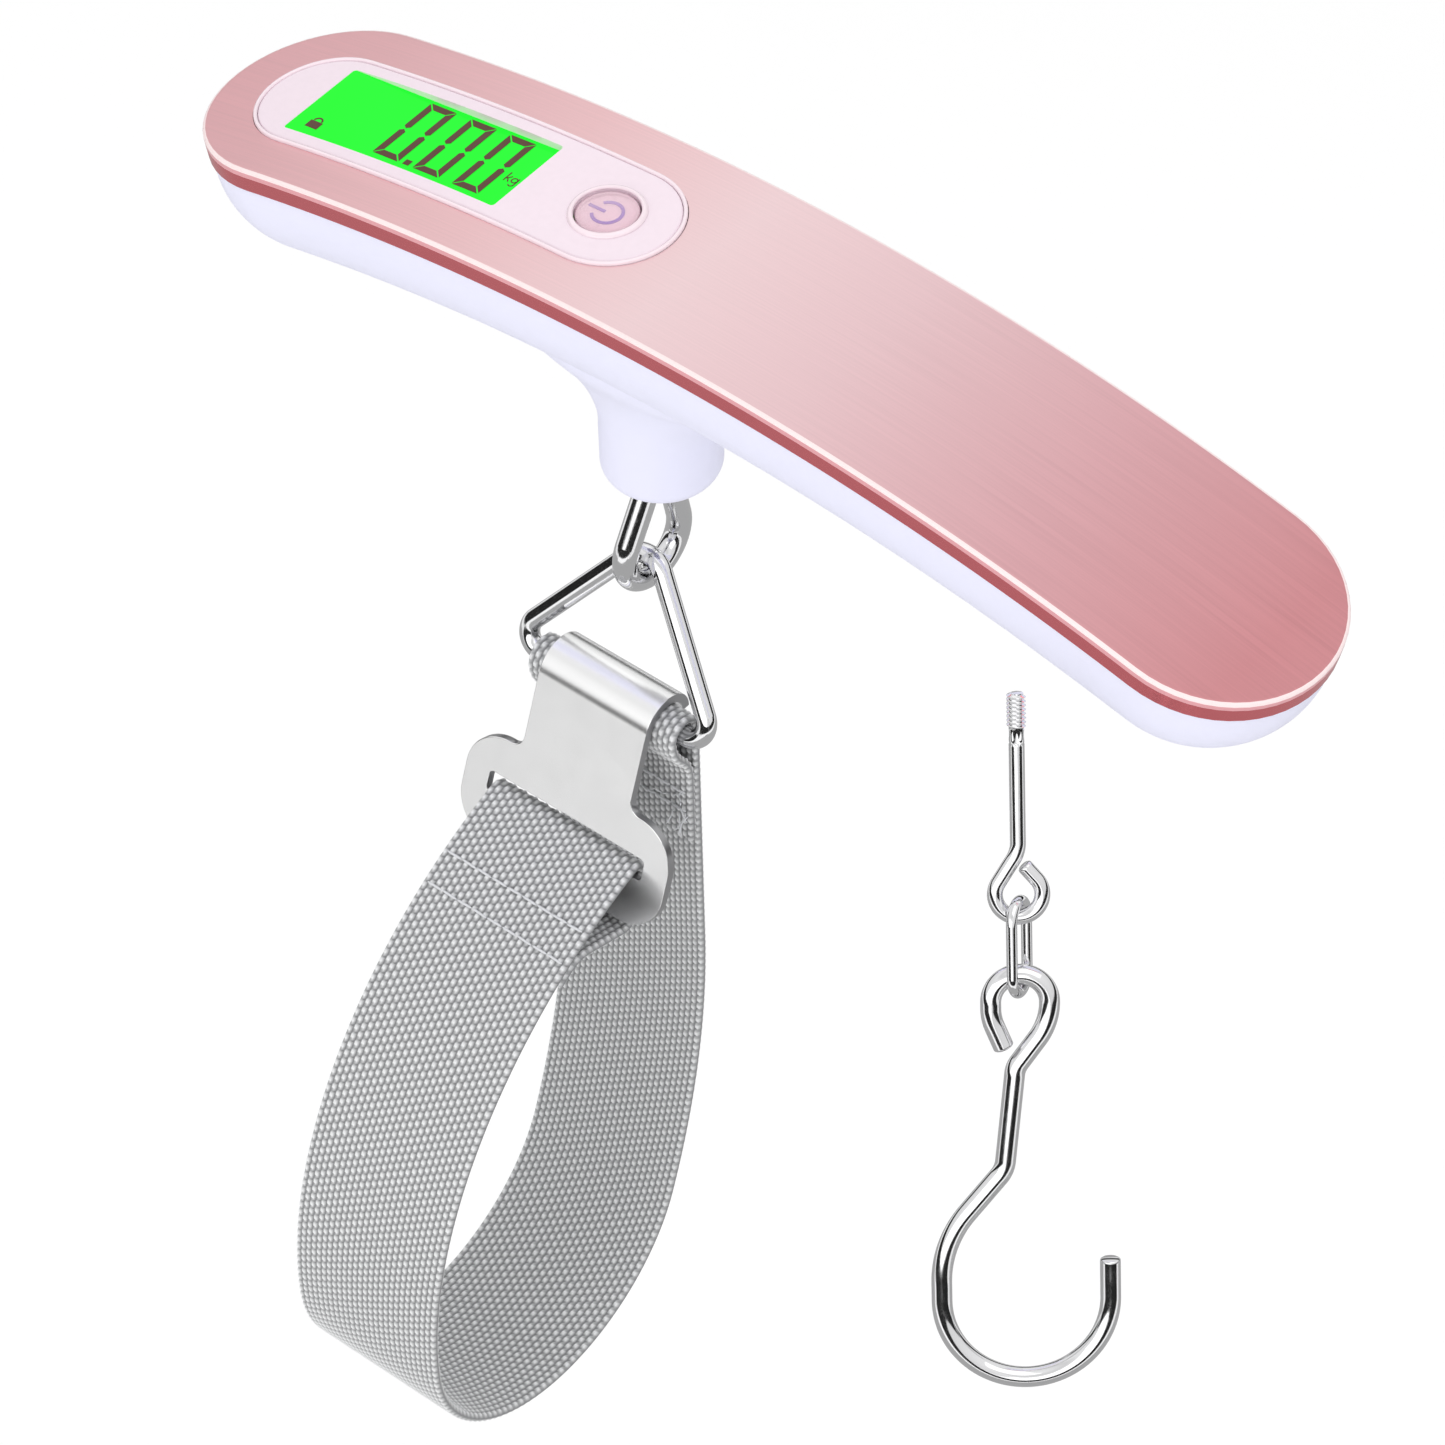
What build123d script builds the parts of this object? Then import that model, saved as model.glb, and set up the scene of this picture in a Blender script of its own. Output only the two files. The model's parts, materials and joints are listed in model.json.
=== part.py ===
from build123d import *

import math
import os

# Hand-held hanging scale with an arched handle, a webbing loop on a swivel eye
# and a spare hook set. Units are millimetres.
# Origin: on the load axis, level with the crown of the face. +Z is up, the
# handle runs along X with the display towards -X, and the loop opens towards -Y.

# ---------------------------------------------------------------- handle
ARCH_R = 306.0  # radius of the arched face
CROWN_X = 16.0  # the crown stands this far from the load axis
HALF_LENGTH = 88.3  # crown to either tip, measured on the face
HALF_WIDTH = 16.5
STRAIGHT = HALF_LENGTH - HALF_WIDTH  # crown to the start of a rounded end

SHEET = 0.8  # face cover metal
RIM_DEPTH = 3.4
SHELL_STEP = 0.4  # the shell stands this far inside the cover's rim
SHELL_WALL = 1.8
SHELL_SIDE = 2.0  # upright part of the shell's side
SHELL_BELLY = 14.85  # depth of the rounded belly below it
SHELL_FLOOR = RIM_DEPTH + SHELL_SIDE + SHELL_BELLY

# Stem under the handle: height, half-length along X, half-width along Y.
STEM_R = 8.05
STEM_FOOT = -41.0
STEM_SECTIONS = [
    (-32.5, 8.05, 8.05),
    (-27.5, 8.9, 8.3),
    (-23.5, 12.0, 9.2),
    (-19.5, 19.0, 11.0),
    (-14.0, 30.0, 13.0),
]
STEM_MOUTH_R = 6.3
STEM_FLOOR = (-35.0, -32.0)
STEM_BORE_R = 5.2

# ---------------------------------------------------------------- display
WINDOW_S = -47.4  # middle of the window, measured on the face from the crown
WINDOW_HALF = 33.5
WINDOW_R = 8.95
WINDOW_PROUD = 0.25
WINDOW_DEPTH = 1.6
BEZEL = 0.65
LCD_SIZE = (36.2, 13.9)
LCD_X = -7.4  # middle of the display from the middle of the window
LCD_TOP = -0.85
BOARD_TOP = -6.4
BOARD_SIZE = (56.0, 20.0, 1.2)
BOARD_X = -1.6
BUTTON_S = -23.6
BUTTON_R = 4.2

# ---------------------------------------------------------------- battery and screws
CELL_S = 46.0
CELL_R = 10.0
CELL_BOTTOM = -12.2
CELL_HEIGHT = 3.2
HOLDER_R = 11.6
DOOR_SIZE = (24.0, 21.4)
DOOR_GAP = 0.2
SCREW_STATIONS = (-81.0, 28.0, 81.0)
SCREW_SEAT = -13.2
POST_TOP = -8.0

# ---------------------------------------------------------------- load cell and eye
BEAM_X = (-6.0, 36.0)
BEAM_Z = (-16.0, -11.0)
BEAM_WIDTH = 10.0
BEAM_SCREWS_X = (25.0, 31.5)
EYE_WIRE_R = 1.7
EYE_Y = -2.5
EYE_Z = -52.5
EYE_R = 5.5
EYE_ROOT_Z = -37.0

# ---------------------------------------------------------------- triangle ring
RING_WIRE_R = 1.4
RING_TILT = 22.5  # forward lean from the vertical
RING_APEX_R = 3.4
RING_HEIGHT = 17.8  # eye wire to base bar
RING_BASE_HALF = 17.5  # to the sharp corner of the base, before rounding
RING_CORNER_R = 2.5

# ---------------------------------------------------------------- webbing
WEB_WIDTH = 25.0
WEB = 1.3
GAP = 0.3
FOLD_R = 63.5  # bend of the front of the loop, up to the plate
# From the back of the base bar down: length or (radius, turn in degrees).
LOOP_RUNS = [42.0, (130.0, -21.0), (25.5, -156.0), (FOLD_R, -57.5)]

# ---------------------------------------------------------------- T-shaped hook plate
PLATE = 1.3
PLATE_TILT = 20.0
ROLL_R = 3.3  # inside radius of the rolled top
NECK_HALF = 9.2
EAR_TOP = 12.0
EAR_BOTTOM = 28.0
EAR_HALF = 17.4
EAR_CORNER_R = 6.2
NECK_FILLET = 1.9
SLOT_HALF = 13.3
SLOT = (17.6, 20.8)

# ---------------------------------------------------------------- spare hook set
SPARE_AT = (90.7, -42.4, -49.6)
SPARE_TURN = 40.3
SPARE_LEAN = 30.0
THREAD_R = 1.2
SHANK_R = 0.95
SHANK_TOP = 43.9
THREAD_END = 39.8
SHANK_EYE_W = 18.67
SHANK_EYE_R = 2.85
LINK_WIRE_R = 0.68
LINK_END_R = 2.35
LINK_TURN = 65.0
LINK_SLACK = 0.32
HOOK_WIRE_R = 1.27
HOOK_EYE_W = 4.97
HOOK_EYE_R = 3.55
HOOK_POINT = (10.575, -28.4)
BOWL_R = 10.3


# ================================================================ helpers


def on_arch(s, z=0.0):
    """Frame on the arched face: x along the handle, z out of the face."""
    angle = s / ARCH_R
    reach = ARCH_R + z
    place = (CROWN_X + reach * math.sin(angle), 0, reach * math.cos(angle) - ARCH_R)
    return Location(place, (0, math.degrees(angle), 0))


def arch_sweep(section, half_length):
    """Sweeps a section drawn in (y, z) along the arch and turns it round at both ends."""
    span = math.degrees(half_length / ARCH_R)
    axis = Axis((CROWN_X, 0, -ARCH_R), (0, 1, 0))
    run = revolve(on_arch(-half_length) * (Plane.YZ * section), axis, 2 * span)
    near_half = section & Pos(-50, 0) * Rectangle(100, 200)
    cap = revolve(Plane.YZ * near_half, Axis.Z, 180)
    return run + on_arch(half_length) * cap + on_arch(-half_length) * (Rot(0, 0, 180) * cap)


def arch_slab(s, half_length, radius, top, bottom):
    """Part of the arched skin between two heights, with a slot-shaped outline."""
    ring = Rot(90, 0, 0) * (Cylinder(ARCH_R + top, 80) - Cylinder(ARCH_R + bottom, 90))
    outline = extrude(SlotOverall(2 * half_length, 2 * radius), 12, both=True)
    return on_arch(s) * outline & Pos(CROWN_X, 0, -ARCH_R) * ring


def block(x, y, z):
    """Box from pairs of limits."""
    size = (x[1] - x[0], y[1] - y[0], z[1] - z[0])
    middle = ((x[0] + x[1]) / 2, (y[0] + y[1]) / 2, (z[0] + z[1]) / 2)
    return Pos(*middle) * Box(*size)


def post(radius, bottom, top, x=0.0, y=0.0):
    """Upright cylinder between two heights."""
    return Pos(x, y, (bottom + top) / 2) * Cylinder(radius, top - bottom)


def trace(start, heading, runs, offset=0.0):
    """Straight runs and tangent arcs, moved sideways to the left by an offset."""
    x, y = start
    side = math.radians(heading + 90)
    point = (x + offset * math.cos(side), y + offset * math.sin(side))
    edges = []
    for run in runs:
        way = math.radians(heading)
        if isinstance(run, tuple):
            radius, turn = run
            radius -= offset * math.copysign(1, turn)
            edge = JernArc(point, (math.cos(way), math.sin(way)), radius, turn)
            heading += turn
        else:
            edge = Line(point, (point[0] + run * math.cos(way), point[1] + run * math.sin(way)))
        edges.append(edge)
        end = edge @ 1
        point = (end.X, end.Y)
    return edges, point, heading


def ribbon(start, heading, runs, thickness):
    """Face of a band of even thickness along straight runs and tangent arcs."""
    left, left_end, _ = trace(start, heading, runs, thickness / 2)
    right, right_end, _ = trace(start, heading, runs, -thickness / 2)
    ends = [Line(left[0] @ 0, right[0] @ 0), Line(left_end, right_end)]
    return make_face(left + right + ends)


def wire_along(start, heading, runs, radius):
    """Round wire along straight runs and tangent arcs in the XY plane."""
    edges, _, _ = trace(start, heading, runs)
    path = Wire(edges)
    return sweep(Plane(path @ 0, z_dir=path % 0) * Circle(radius), path=path)


def across(section, width):
    """Solid from a section drawn in (y, z), centred on X."""
    return extrude(Plane.YZ * section, width / 2, both=True)


# ================================================================ handle


def shell_outline(wall):
    """Section of the lower shell, a given wall inside its outer skin."""
    half = HALF_WIDTH - SHELL_STEP - wall
    depth = SHELL_BELLY - wall
    side = RIM_DEPTH + SHELL_SIDE
    upright = Pos(0, -(RIM_DEPTH + side) / 2) * Rectangle(2 * half, SHELL_SIDE)
    belly = Pos(0, -side) * Ellipse(half, depth) & Pos(0, -side - 50) * Rectangle(100, 100)
    return upright + belly


def face_cover():
    """Thin metal tray over the handle, open round the window."""
    tray = Pos(0, -RIM_DEPTH / 2) * Rectangle(2 * HALF_WIDTH, RIM_DEPTH)
    inside = HALF_WIDTH - SHEET
    hollow = Pos(0, -SHEET - RIM_DEPTH) * Rectangle(2 * inside, 2 * RIM_DEPTH)
    cover = arch_sweep(tray - hollow, STRAIGHT)
    window = arch_slab(WINDOW_S, WINDOW_HALF + BEZEL, WINDOW_R + BEZEL, 3, -3)
    return cover - window


def inner_frame():
    """Moulded plate under the cover, with the window's seat and the screw bosses."""
    top = SHEET + 0.05
    half = HALF_WIDTH - SHEET - 0.1
    plate = Pos(0, -(top + RIM_DEPTH) / 2) * Rectangle(2 * half, RIM_DEPTH - top)
    frame = arch_sweep(plate, STRAIGHT)
    frame -= arch_slab(WINDOW_S, WINDOW_HALF + BEZEL, WINDOW_R + BEZEL, 3, -WINDOW_DEPTH)
    frame -= arch_slab(WINDOW_S, WINDOW_HALF - 0.8, WINDOW_R - 0.8, 3, -9)
    for station in SCREW_STATIONS:
        boss = post(2.8, POST_TOP, -RIM_DEPTH + 0.4) - post(1.12, POST_TOP - 1, -4.0)
        frame += on_arch(station) * boss
    for station in SCREW_STATIONS:
        frame -= on_arch(station) * post(1.12, POST_TOP - 1, -4.0)
    return frame


def stem_solid():
    """Flared stem: a lofted neck over a straight cup with a rounded foot."""
    faces = [Plane.XY.offset(z) * Ellipse(a, b) for z, a, b in STEM_SECTIONS[1:]]
    straight = STEM_SECTIONS[0][0]
    neck = loft([Plane.XY.offset(straight) * Circle(STEM_R)] + faces)
    cup = post(STEM_R, STEM_FOOT, straight)
    cup = fillet(cup.edges().sort_by(Axis.Z)[0], 2.5)
    return neck + cup


def door_prism(gap, depth):
    """Outline of the battery door, standing through the shell's floor."""
    outline = RectangleRounded(DOOR_SIZE[0] + 2 * gap, DOOR_SIZE[1] + 2 * gap, 3.0 + gap)
    return on_arch(CELL_S) * (Pos(0, 0, -depth - 20) * extrude(outline, 20))


def lower_shell():
    """Lower half of the handle with its stem, posts and battery opening."""
    outer = arch_sweep(shell_outline(0.0), STRAIGHT)
    cavity = arch_sweep(shell_outline(SHELL_WALL), STRAIGHT)
    shell = outer + stem_solid() - cavity
    shell -= post(STEM_MOUTH_R, STEM_FOOT - 1, STEM_FLOOR[0])
    shell -= post(STEM_BORE_R, STEM_FLOOR[1], -15)
    shell -= post(3.2, STEM_FLOOR[0] - 1, STEM_FLOOR[1] + 1)
    for station in SCREW_STATIONS:
        shell += on_arch(station) * post(3.2, -SHELL_FLOOR + 1.0, POST_TOP) & outer
    for station in SCREW_STATIONS:
        bore = post(2.3, -SHELL_FLOOR - 2, SCREW_SEAT) + post(1.25, SCREW_SEAT - 1, POST_TOP + 1)
        shell -= on_arch(station) * bore
    for x in BEAM_SCREWS_X:
        shell += post(3.0, -19.4, BEAM_Z[0], x)
    for x in BEAM_SCREWS_X:
        shell -= post(1.12, -18.9, BEAM_Z[0] + 1, x)
    return shell - door_prism(DOOR_GAP, 13.0)


def battery_door():
    """Snap-in panel in the handle's underside, with the pad that steadies the cell."""
    skin = arch_sweep(shell_outline(0.0), STRAIGHT) - arch_sweep(shell_outline(SHELL_WALL), STRAIGHT)
    panel = skin & door_prism(0.0, 13.0)
    pad = on_arch(CELL_S) * post(5.0, -SHELL_FLOOR + 0.9, CELL_BOTTOM - GAP)
    return panel + pad


def case_screws():
    """Screws that hold the shell to the inner frame."""
    screw = post(2.1, SCREW_SEAT - 1.5, SCREW_SEAT) + post(1.1, SCREW_SEAT, -5.0)
    recess = Pos(0, 0, SCREW_SEAT - 1.5) * Box(2.6, 0.6, 1.2)
    turned = Pos(0, 0, SCREW_SEAT - 1.5) * Box(0.6, 2.6, 1.2)
    screw = screw - recess - turned
    return Compound([on_arch(station) * screw for station in SCREW_STATIONS])


def stem_bush():
    """Flanged bush that guides the eye's rod through the stem floor."""
    bush = post(3.15, STEM_FLOOR[0], STEM_FLOOR[1]) + post(4.8, STEM_FLOOR[1], STEM_FLOOR[1] + 1.0)
    return bush - post(EYE_WIRE_R + 0.08, -40, -25)


# ================================================================ display and button


def display_window():
    """Milky panel with the openings for the display and the button."""
    panel = arch_slab(WINDOW_S, WINDOW_HALF, WINDOW_R, WINDOW_PROUD, -WINDOW_DEPTH)
    opening = extrude(RectangleRounded(LCD_SIZE[0] + 0.2, LCD_SIZE[1] + 0.2, 0.3), 6, both=True)
    panel -= on_arch(WINDOW_S) * (Pos(LCD_X, 0, 0) * opening)
    return panel - on_arch(BUTTON_S) * post(BUTTON_R + 0.15, -5, 5)


def window_bezel():
    """Raised lip round the window."""
    lip = arch_slab(WINDOW_S, WINDOW_HALF + BEZEL - 0.05, WINDOW_R + BEZEL - 0.05, 0.45, -WINDOW_DEPTH)
    return lip - arch_slab(WINDOW_S, WINDOW_HALF + 0.03, WINDOW_R + 0.03, 3, -5)


def lcd_glass():
    return block(
        (LCD_X - LCD_SIZE[0] / 2, LCD_X + LCD_SIZE[0] / 2),
        (-LCD_SIZE[1] / 2, LCD_SIZE[1] / 2),
        (LCD_TOP - 1.5, LCD_TOP),
    )


def lcd_backlight():
    """Light guide behind the display glass."""
    return block((LCD_X - 17.5, LCD_X + 17.5), (-5.2, 5.2), (LCD_TOP - 3.6, LCD_TOP - 1.6))


def lcd_connectors():
    """Two elastomer strips that join the glass to the board."""
    strips = [
        block((LCD_X - 17, LCD_X + 17), (y - 0.5, y + 0.5), (BOARD_TOP, LCD_TOP - 1.5))
        for y in (-6.1, 6.1)
    ]
    return strips


def lcd_holder():
    """Frame that stands on the board round the display."""
    depth = (BOARD_TOP, -4.7)
    outside = block((LCD_X - 19.5, LCD_X + 19.5), (-8.6, 8.6), depth)
    return outside - block((LCD_X - 18.3, LCD_X + 18.3), (-7.1, 7.1), (BOARD_TOP - 1, 0))


def circuit_board():
    """Main board, with one corner notched for the leads."""
    half = (BOARD_SIZE[0] / 2, BOARD_SIZE[1] / 2)
    depth = (BOARD_TOP - BOARD_SIZE[2], BOARD_TOP)
    board = block((BOARD_X - half[0], BOARD_X + half[0]), (-half[1], half[1]), depth)
    return board - block((BOARD_X + half[0] - 6, BOARD_X + half[0] + 1), (6, 11), (-9, -5))


def board_chips():
    """Controller under its blob, the converter, a crystal and four capacitors."""
    below = BOARD_TOP - BOARD_SIZE[2]
    blob = Pos(-12, 0, below) * Sphere(5) & block((-18, -6), (-6, 6), (below - 1.3, below))
    parts = [blob, block((2, 8), (-3, 3), (below - 1.4, below))]
    parts.append(Pos(13, 5, below - 1.0) * (Rot(0, 90, 0) * Cylinder(1.0, 6)))
    for step in range(4):
        x = -24 + 4 * step
        parts.append(block((x, x + 1.6), (6.5, 7.4), (below - 0.8, below)))
    return parts


def tact_switch():
    """Switch under the power button, standing on the board."""
    x = BUTTON_S - WINDOW_S
    body = block((x - 2.2, x + 2.2), (-2.2, 2.2), (BOARD_TOP, BOARD_TOP + 1.1))
    return body + post(1.0, BOARD_TOP + 1.0, BOARD_TOP + 1.5, x)


def power_button():
    """Domed cap that slides in the window panel."""
    dome_r = (BUTTON_R**2 + 1.3**2) / (2 * 1.3)
    dome = Pos(0, 0, 1.55 - dome_r) * Sphere(dome_r) & post(BUTTON_R - 0.05, 0.0, 3)
    cap = post(BUTTON_R, -2.4, 0.2) + dome
    cap += post(BUTTON_R + 1.2, -2.6, -1.9) + post(1.5, -3.1, -2.5)
    return on_arch(BUTTON_S) * cap


def button_ring():
    """Raised ring round the button."""
    ring = post(BUTTON_R + 1.0, WINDOW_PROUD, 0.75) - post(BUTTON_R + 0.15, 0, 2)
    return on_arch(BUTTON_S) * ring


# ================================================================ battery


def coin_cell():
    cell = post(CELL_R, CELL_BOTTOM, CELL_BOTTOM + CELL_HEIGHT)
    return on_arch(CELL_S) * chamfer(cell.edges(), 0.3)


def battery_holder():
    """Round cup that holds the cell from above, notched for the side contact."""
    floor = CELL_BOTTOM + CELL_HEIGHT + 0.35
    cup = post(HOLDER_R, -13.0, floor + 1.2) - post(CELL_R + 0.15, -14, floor)
    cup -= block((8, 13), (-2.7, 2.7), (-14, floor))
    return on_arch(CELL_S) * cup


def battery_contact_negative():
    """Flat spring under the holder's floor."""
    top = CELL_BOTTOM + CELL_HEIGHT + 0.35
    return on_arch(CELL_S) * block((-6, 6), (-2, 2), (top - 0.3, top))


def battery_contact_positive():
    """Side spring in the holder's notch."""
    top = CELL_BOTTOM + CELL_HEIGHT + 0.35
    leg = block((CELL_R + 0.05, CELL_R + 0.3), (-2.4, 2.4), (-12.6, top))
    foot = block((CELL_R + 0.3, CELL_R + 1.5), (-2.4, 2.4), (top - 0.25, top))
    return on_arch(CELL_S) * (leg + foot)


# ================================================================ load cell and eye


def load_cell():
    """Bending beam with a waist, a hole for the eye's rod and two screw holes."""
    half = BEAM_WIDTH / 2
    beam = block(BEAM_X, (-half, half), BEAM_Z)
    middle = (BEAM_Z[0] + BEAM_Z[1]) / 2
    for x in (10.0, 15.0):
        beam -= Pos(x, 0, middle) * (Rot(90, 0, 0) * Cylinder(1.8, 20))
    beam -= block((10, 15), (-10, 10), (middle - 0.6, middle + 0.6))
    beam -= post(EYE_WIRE_R + 0.3, -20, -5)
    for x in BEAM_SCREWS_X:
        beam -= post(1.3, -20, -5, x)
    return beam


def strain_gauges():
    """Two foil gauges, above and below the beam's waist."""
    pair = [block((9.5, 15.5), (-2, 2), (BEAM_Z[1], BEAM_Z[1] + 0.2))]
    pair.append(block((9.5, 15.5), (-2, 2), (BEAM_Z[0] - 0.2, BEAM_Z[0])))
    return pair


def beam_screws():
    """Two screws that clamp the beam to the shell."""
    screw = post(2.2, BEAM_Z[1], BEAM_Z[1] + 1.4) + post(1.1, -18.8, BEAM_Z[1])
    return [Pos(x, 0, 0) * screw for x in BEAM_SCREWS_X]


def eye_washer():
    return post(3.6, BEAM_Z[1], BEAM_Z[1] + 0.5) - post(EYE_WIRE_R + 0.08, -20, -5)


def eye_nut():
    """Nut that hangs the eye's rod on the beam."""
    bottom = BEAM_Z[1] + 0.55
    nut = Pos(0, 0, bottom) * extrude(RegularPolygon(3.1, 6), 1.8)
    return nut - post(EYE_WIRE_R, -20, -5)


def load_eye():
    """Rod that turns in the stem, closed into a hanging eye."""
    rod = post(EYE_WIRE_R, EYE_ROOT_Z, BEAM_Z[1] + 2.45)
    reach = math.hypot(EYE_Y, EYE_ROOT_Z - EYE_Z)
    lean = math.degrees(math.atan2(-EYE_Y, EYE_ROOT_Z - EYE_Z))
    half = math.degrees(math.asin(EYE_R / reach))
    leg = math.sqrt(reach**2 - EYE_R**2)
    eye = rod + Pos(0, 0, EYE_ROOT_Z) * Sphere(EYE_WIRE_R + 0.15)
    for side in (-1, 1):
        heading = -90 - lean + side * half
        edges, _, _ = trace((0, EYE_ROOT_Z), heading, [leg, (EYE_R, -side * (90 + half))])
        path = Plane.YZ * Wire(edges)
        eye += sweep(Plane(path @ 0, z_dir=path % 0) * Circle(EYE_WIRE_R), path=path)
    return eye


# ================================================================ triangle ring


def ring_frame():
    """Frame at the eye wire under the ring: x along X, y from the base bar to the apex."""
    tilt = math.radians(RING_TILT)
    down = (0, -math.sin(tilt), -math.cos(tilt))
    contact = (0, EYE_Y + EYE_R * down[1], EYE_Z + EYE_R * down[2])
    normal = (0, down[2], -down[1])
    return Plane(contact, x_dir=(1, 0, 0), z_dir=normal)


def base_bar():
    """Middle of the triangle ring's base bar, in (y, z)."""
    place = ring_frame().from_local_coords(Vector(0, -RING_HEIGHT, 0))
    return place.Y, place.Z


def triangle_ring():
    """Wire ring: base bar, two legs and a bend round the eye."""
    corner_reach = math.hypot(RING_BASE_HALF, RING_HEIGHT)
    rise = math.degrees(math.atan2(RING_HEIGHT, RING_BASE_HALF))
    leg_angle = rise + math.degrees(math.asin(RING_APEX_R / corner_reach))
    leg = math.sqrt(corner_reach**2 - RING_APEX_R**2)
    setback = RING_CORNER_R / math.tan(math.radians(leg_angle / 2))
    corner = (RING_CORNER_R, 180 - leg_angle)
    runs = [
        RING_BASE_HALF - setback,
        corner,
        leg - setback,
        (RING_APEX_R, 2 * leg_angle),
        leg - setback,
        corner,
        RING_BASE_HALF - setback,
    ]
    ring = wire_along((0, -RING_HEIGHT), 0, runs, RING_WIRE_R)
    return ring_frame() * ring


# ================================================================ webbing loop


def strap_loop():
    """Single band from the back of the base bar round to the front fold."""
    bar_y, bar_z = base_bar()
    start = (bar_y + RING_WIRE_R + GAP + WEB / 2, bar_z)
    return across(ribbon(start, -90, LOOP_RUNS, WEB), WEB_WIDTH)


def strap_back_end():
    """End of the band, turned over the base bar and laid against the back of the loop."""
    bar_y, bar_z = base_bar()
    wrap = RING_WIRE_R + GAP + WEB / 2
    ease = 7.0
    turn = math.degrees(math.acos(1 - (2 * wrap - WEB - 0.05) / (2 * ease)))
    runs = [(wrap, 180.0), (ease, turn), (ease, -turn), 12.0]
    return across(ribbon((bar_y + wrap, bar_z), 90, runs, WEB), WEB_WIDTH)


def back_stitching():
    """Cross rows of thread through the two layers below the base bar."""
    bar_y, bar_z = base_bar()
    wrap = RING_WIRE_R + GAP + WEB / 2
    face = bar_y + wrap - 1.5 * WEB - 0.05
    threads = []
    for z in (bar_z - 12.0, bar_z - 15.5):
        for step in range(8):
            x = -9.8 + 2.8 * step
            threads.append(block((x - 0.9, x + 0.9), (face - 0.3, face), (z - 0.2, z + 0.2)))
    return threads


# ================================================================ T-shaped hook plate


def plate_frame():
    """Frame at the base bar: x along X, y up the plate, z out of its front."""
    bar_y, bar_z = base_bar()
    tilt = math.radians(PLATE_TILT)
    front = (0, -math.cos(tilt), math.sin(tilt))
    return Plane((0, bar_y, bar_z), x_dir=(1, 0, 0), z_dir=front)


def t_hook_plate():
    """Plate with a rolled top, a neck and a slotted crossbar with rounded ears."""
    neck = Pos(0, -EAR_TOP / 2 - 1) * Rectangle(2 * NECK_HALF, EAR_TOP + 2)
    height = EAR_BOTTOM - EAR_TOP
    middle = -(EAR_TOP + EAR_BOTTOM) / 2
    bar = Pos(0, middle) * RectangleRounded(2 * EAR_HALF, height, EAR_CORNER_R)
    outline = neck + bar
    inner = outline.vertices().filter_by(lambda v: abs(abs(v.X) - NECK_HALF) < 0.01 and v.Y < -5)
    outline = fillet(inner, NECK_FILLET)
    slot = Pos(0, -(SLOT[0] + SLOT[1]) / 2) * RectangleRounded(2 * SLOT_HALF, SLOT[1] - SLOT[0], 0.7)
    sheet = Pos(0, 0, ROLL_R) * extrude(outline - slot, PLATE)
    sheet -= block((-30, 30), (0, 5), (0, 10))
    roll = Rot(0, 90, 0) * (Cylinder(ROLL_R + PLATE, 2 * NECK_HALF) - Cylinder(ROLL_R, 60))
    roll &= block((-30, 30), (0, 10), (-10, 10))
    roll &= Rot(PLATE_TILT, 0, 0) * block((-30, 30), (0, 10), (-10, 10))
    return plate_frame() * (sheet + roll)


def front_fold_runs():
    """Runs of the front end: up to the slot, round the crossbar and back underneath."""
    edge = WEB / 2 + 0.95
    return [(FOLD_R, -16.5), 1.3, (edge, -129.0), 7.2, (edge, -88.0), 7.45, (5.0, 51.5), 2.0]


def front_fold_start():
    """Where the front end meets the loop, and its heading."""
    bar_y, bar_z = base_bar()
    start = (bar_y + RING_WIRE_R + GAP + WEB / 2, bar_z)
    _, end, heading = trace(start, -90, LOOP_RUNS)
    way = math.radians(heading)
    return (end[0] + GAP * math.cos(way), end[1] + GAP * math.sin(way)), heading


def strap_front_end():
    """End of the band through the plate's slot, doubled back under itself."""
    start, heading = front_fold_start()
    return across(ribbon(start, heading, front_fold_runs(), WEB), WEB_WIDTH)


def front_stitching():
    """Two rows of thread through both layers of the front end."""
    start, heading = front_fold_start()
    threads = []
    for along in (4.0, 8.5):
        turn = -math.degrees(along / FOLD_R)
        _, point, way = trace(start, heading, [(FOLD_R, turn)], WEB / 2 + 0.15)
        seat = Pos(0, *point) * Rot(way, 0, 0)
        for step in range(8):
            threads.append(seat * (Pos(-9.8 + 2.8 * step, 0, 0) * Box(1.8, 0.4, 0.3)))
    return threads


# ================================================================ spare hook set


def spare_frame(turn=0.0):
    """Frame of the hook set: y along its own axis, z out of its flat side."""
    return Location(SPARE_AT) * (Rot(0, 0, SPARE_TURN) * (Rot(90 - SPARE_LEAN, 0, 0) * Rot(0, turn, 0)))


def spare_shank():
    """Threaded rod with crimp flats, closed into an eye."""
    rod = Rot(90, 0, 0) * post(THREAD_R, -SHANK_TOP, -THREAD_END)
    runs = [14.61, (4.0, -32.0), 3.41, (SHANK_EYE_R, 252.0), 2.4]
    rod += wire_along((0, THREAD_END), -90, runs, SHANK_R)
    return spare_frame() * rod


def spare_link():
    """Oval link between the two eyes."""
    reach = LINK_END_R - LINK_WIRE_R - LINK_SLACK
    top = SHANK_EYE_W - SHANK_EYE_R + SHANK_R - reach
    bottom = HOOK_EYE_W + HOOK_EYE_R - HOOK_WIRE_R + reach
    side = top - bottom
    runs = [side / 2, (LINK_END_R, 180.0), side, (LINK_END_R, 180.0), side / 2]
    link = wire_along((LINK_END_R, (top + bottom) / 2), 90, runs, LINK_WIRE_R)
    return spare_frame(LINK_TURN) * link


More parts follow.
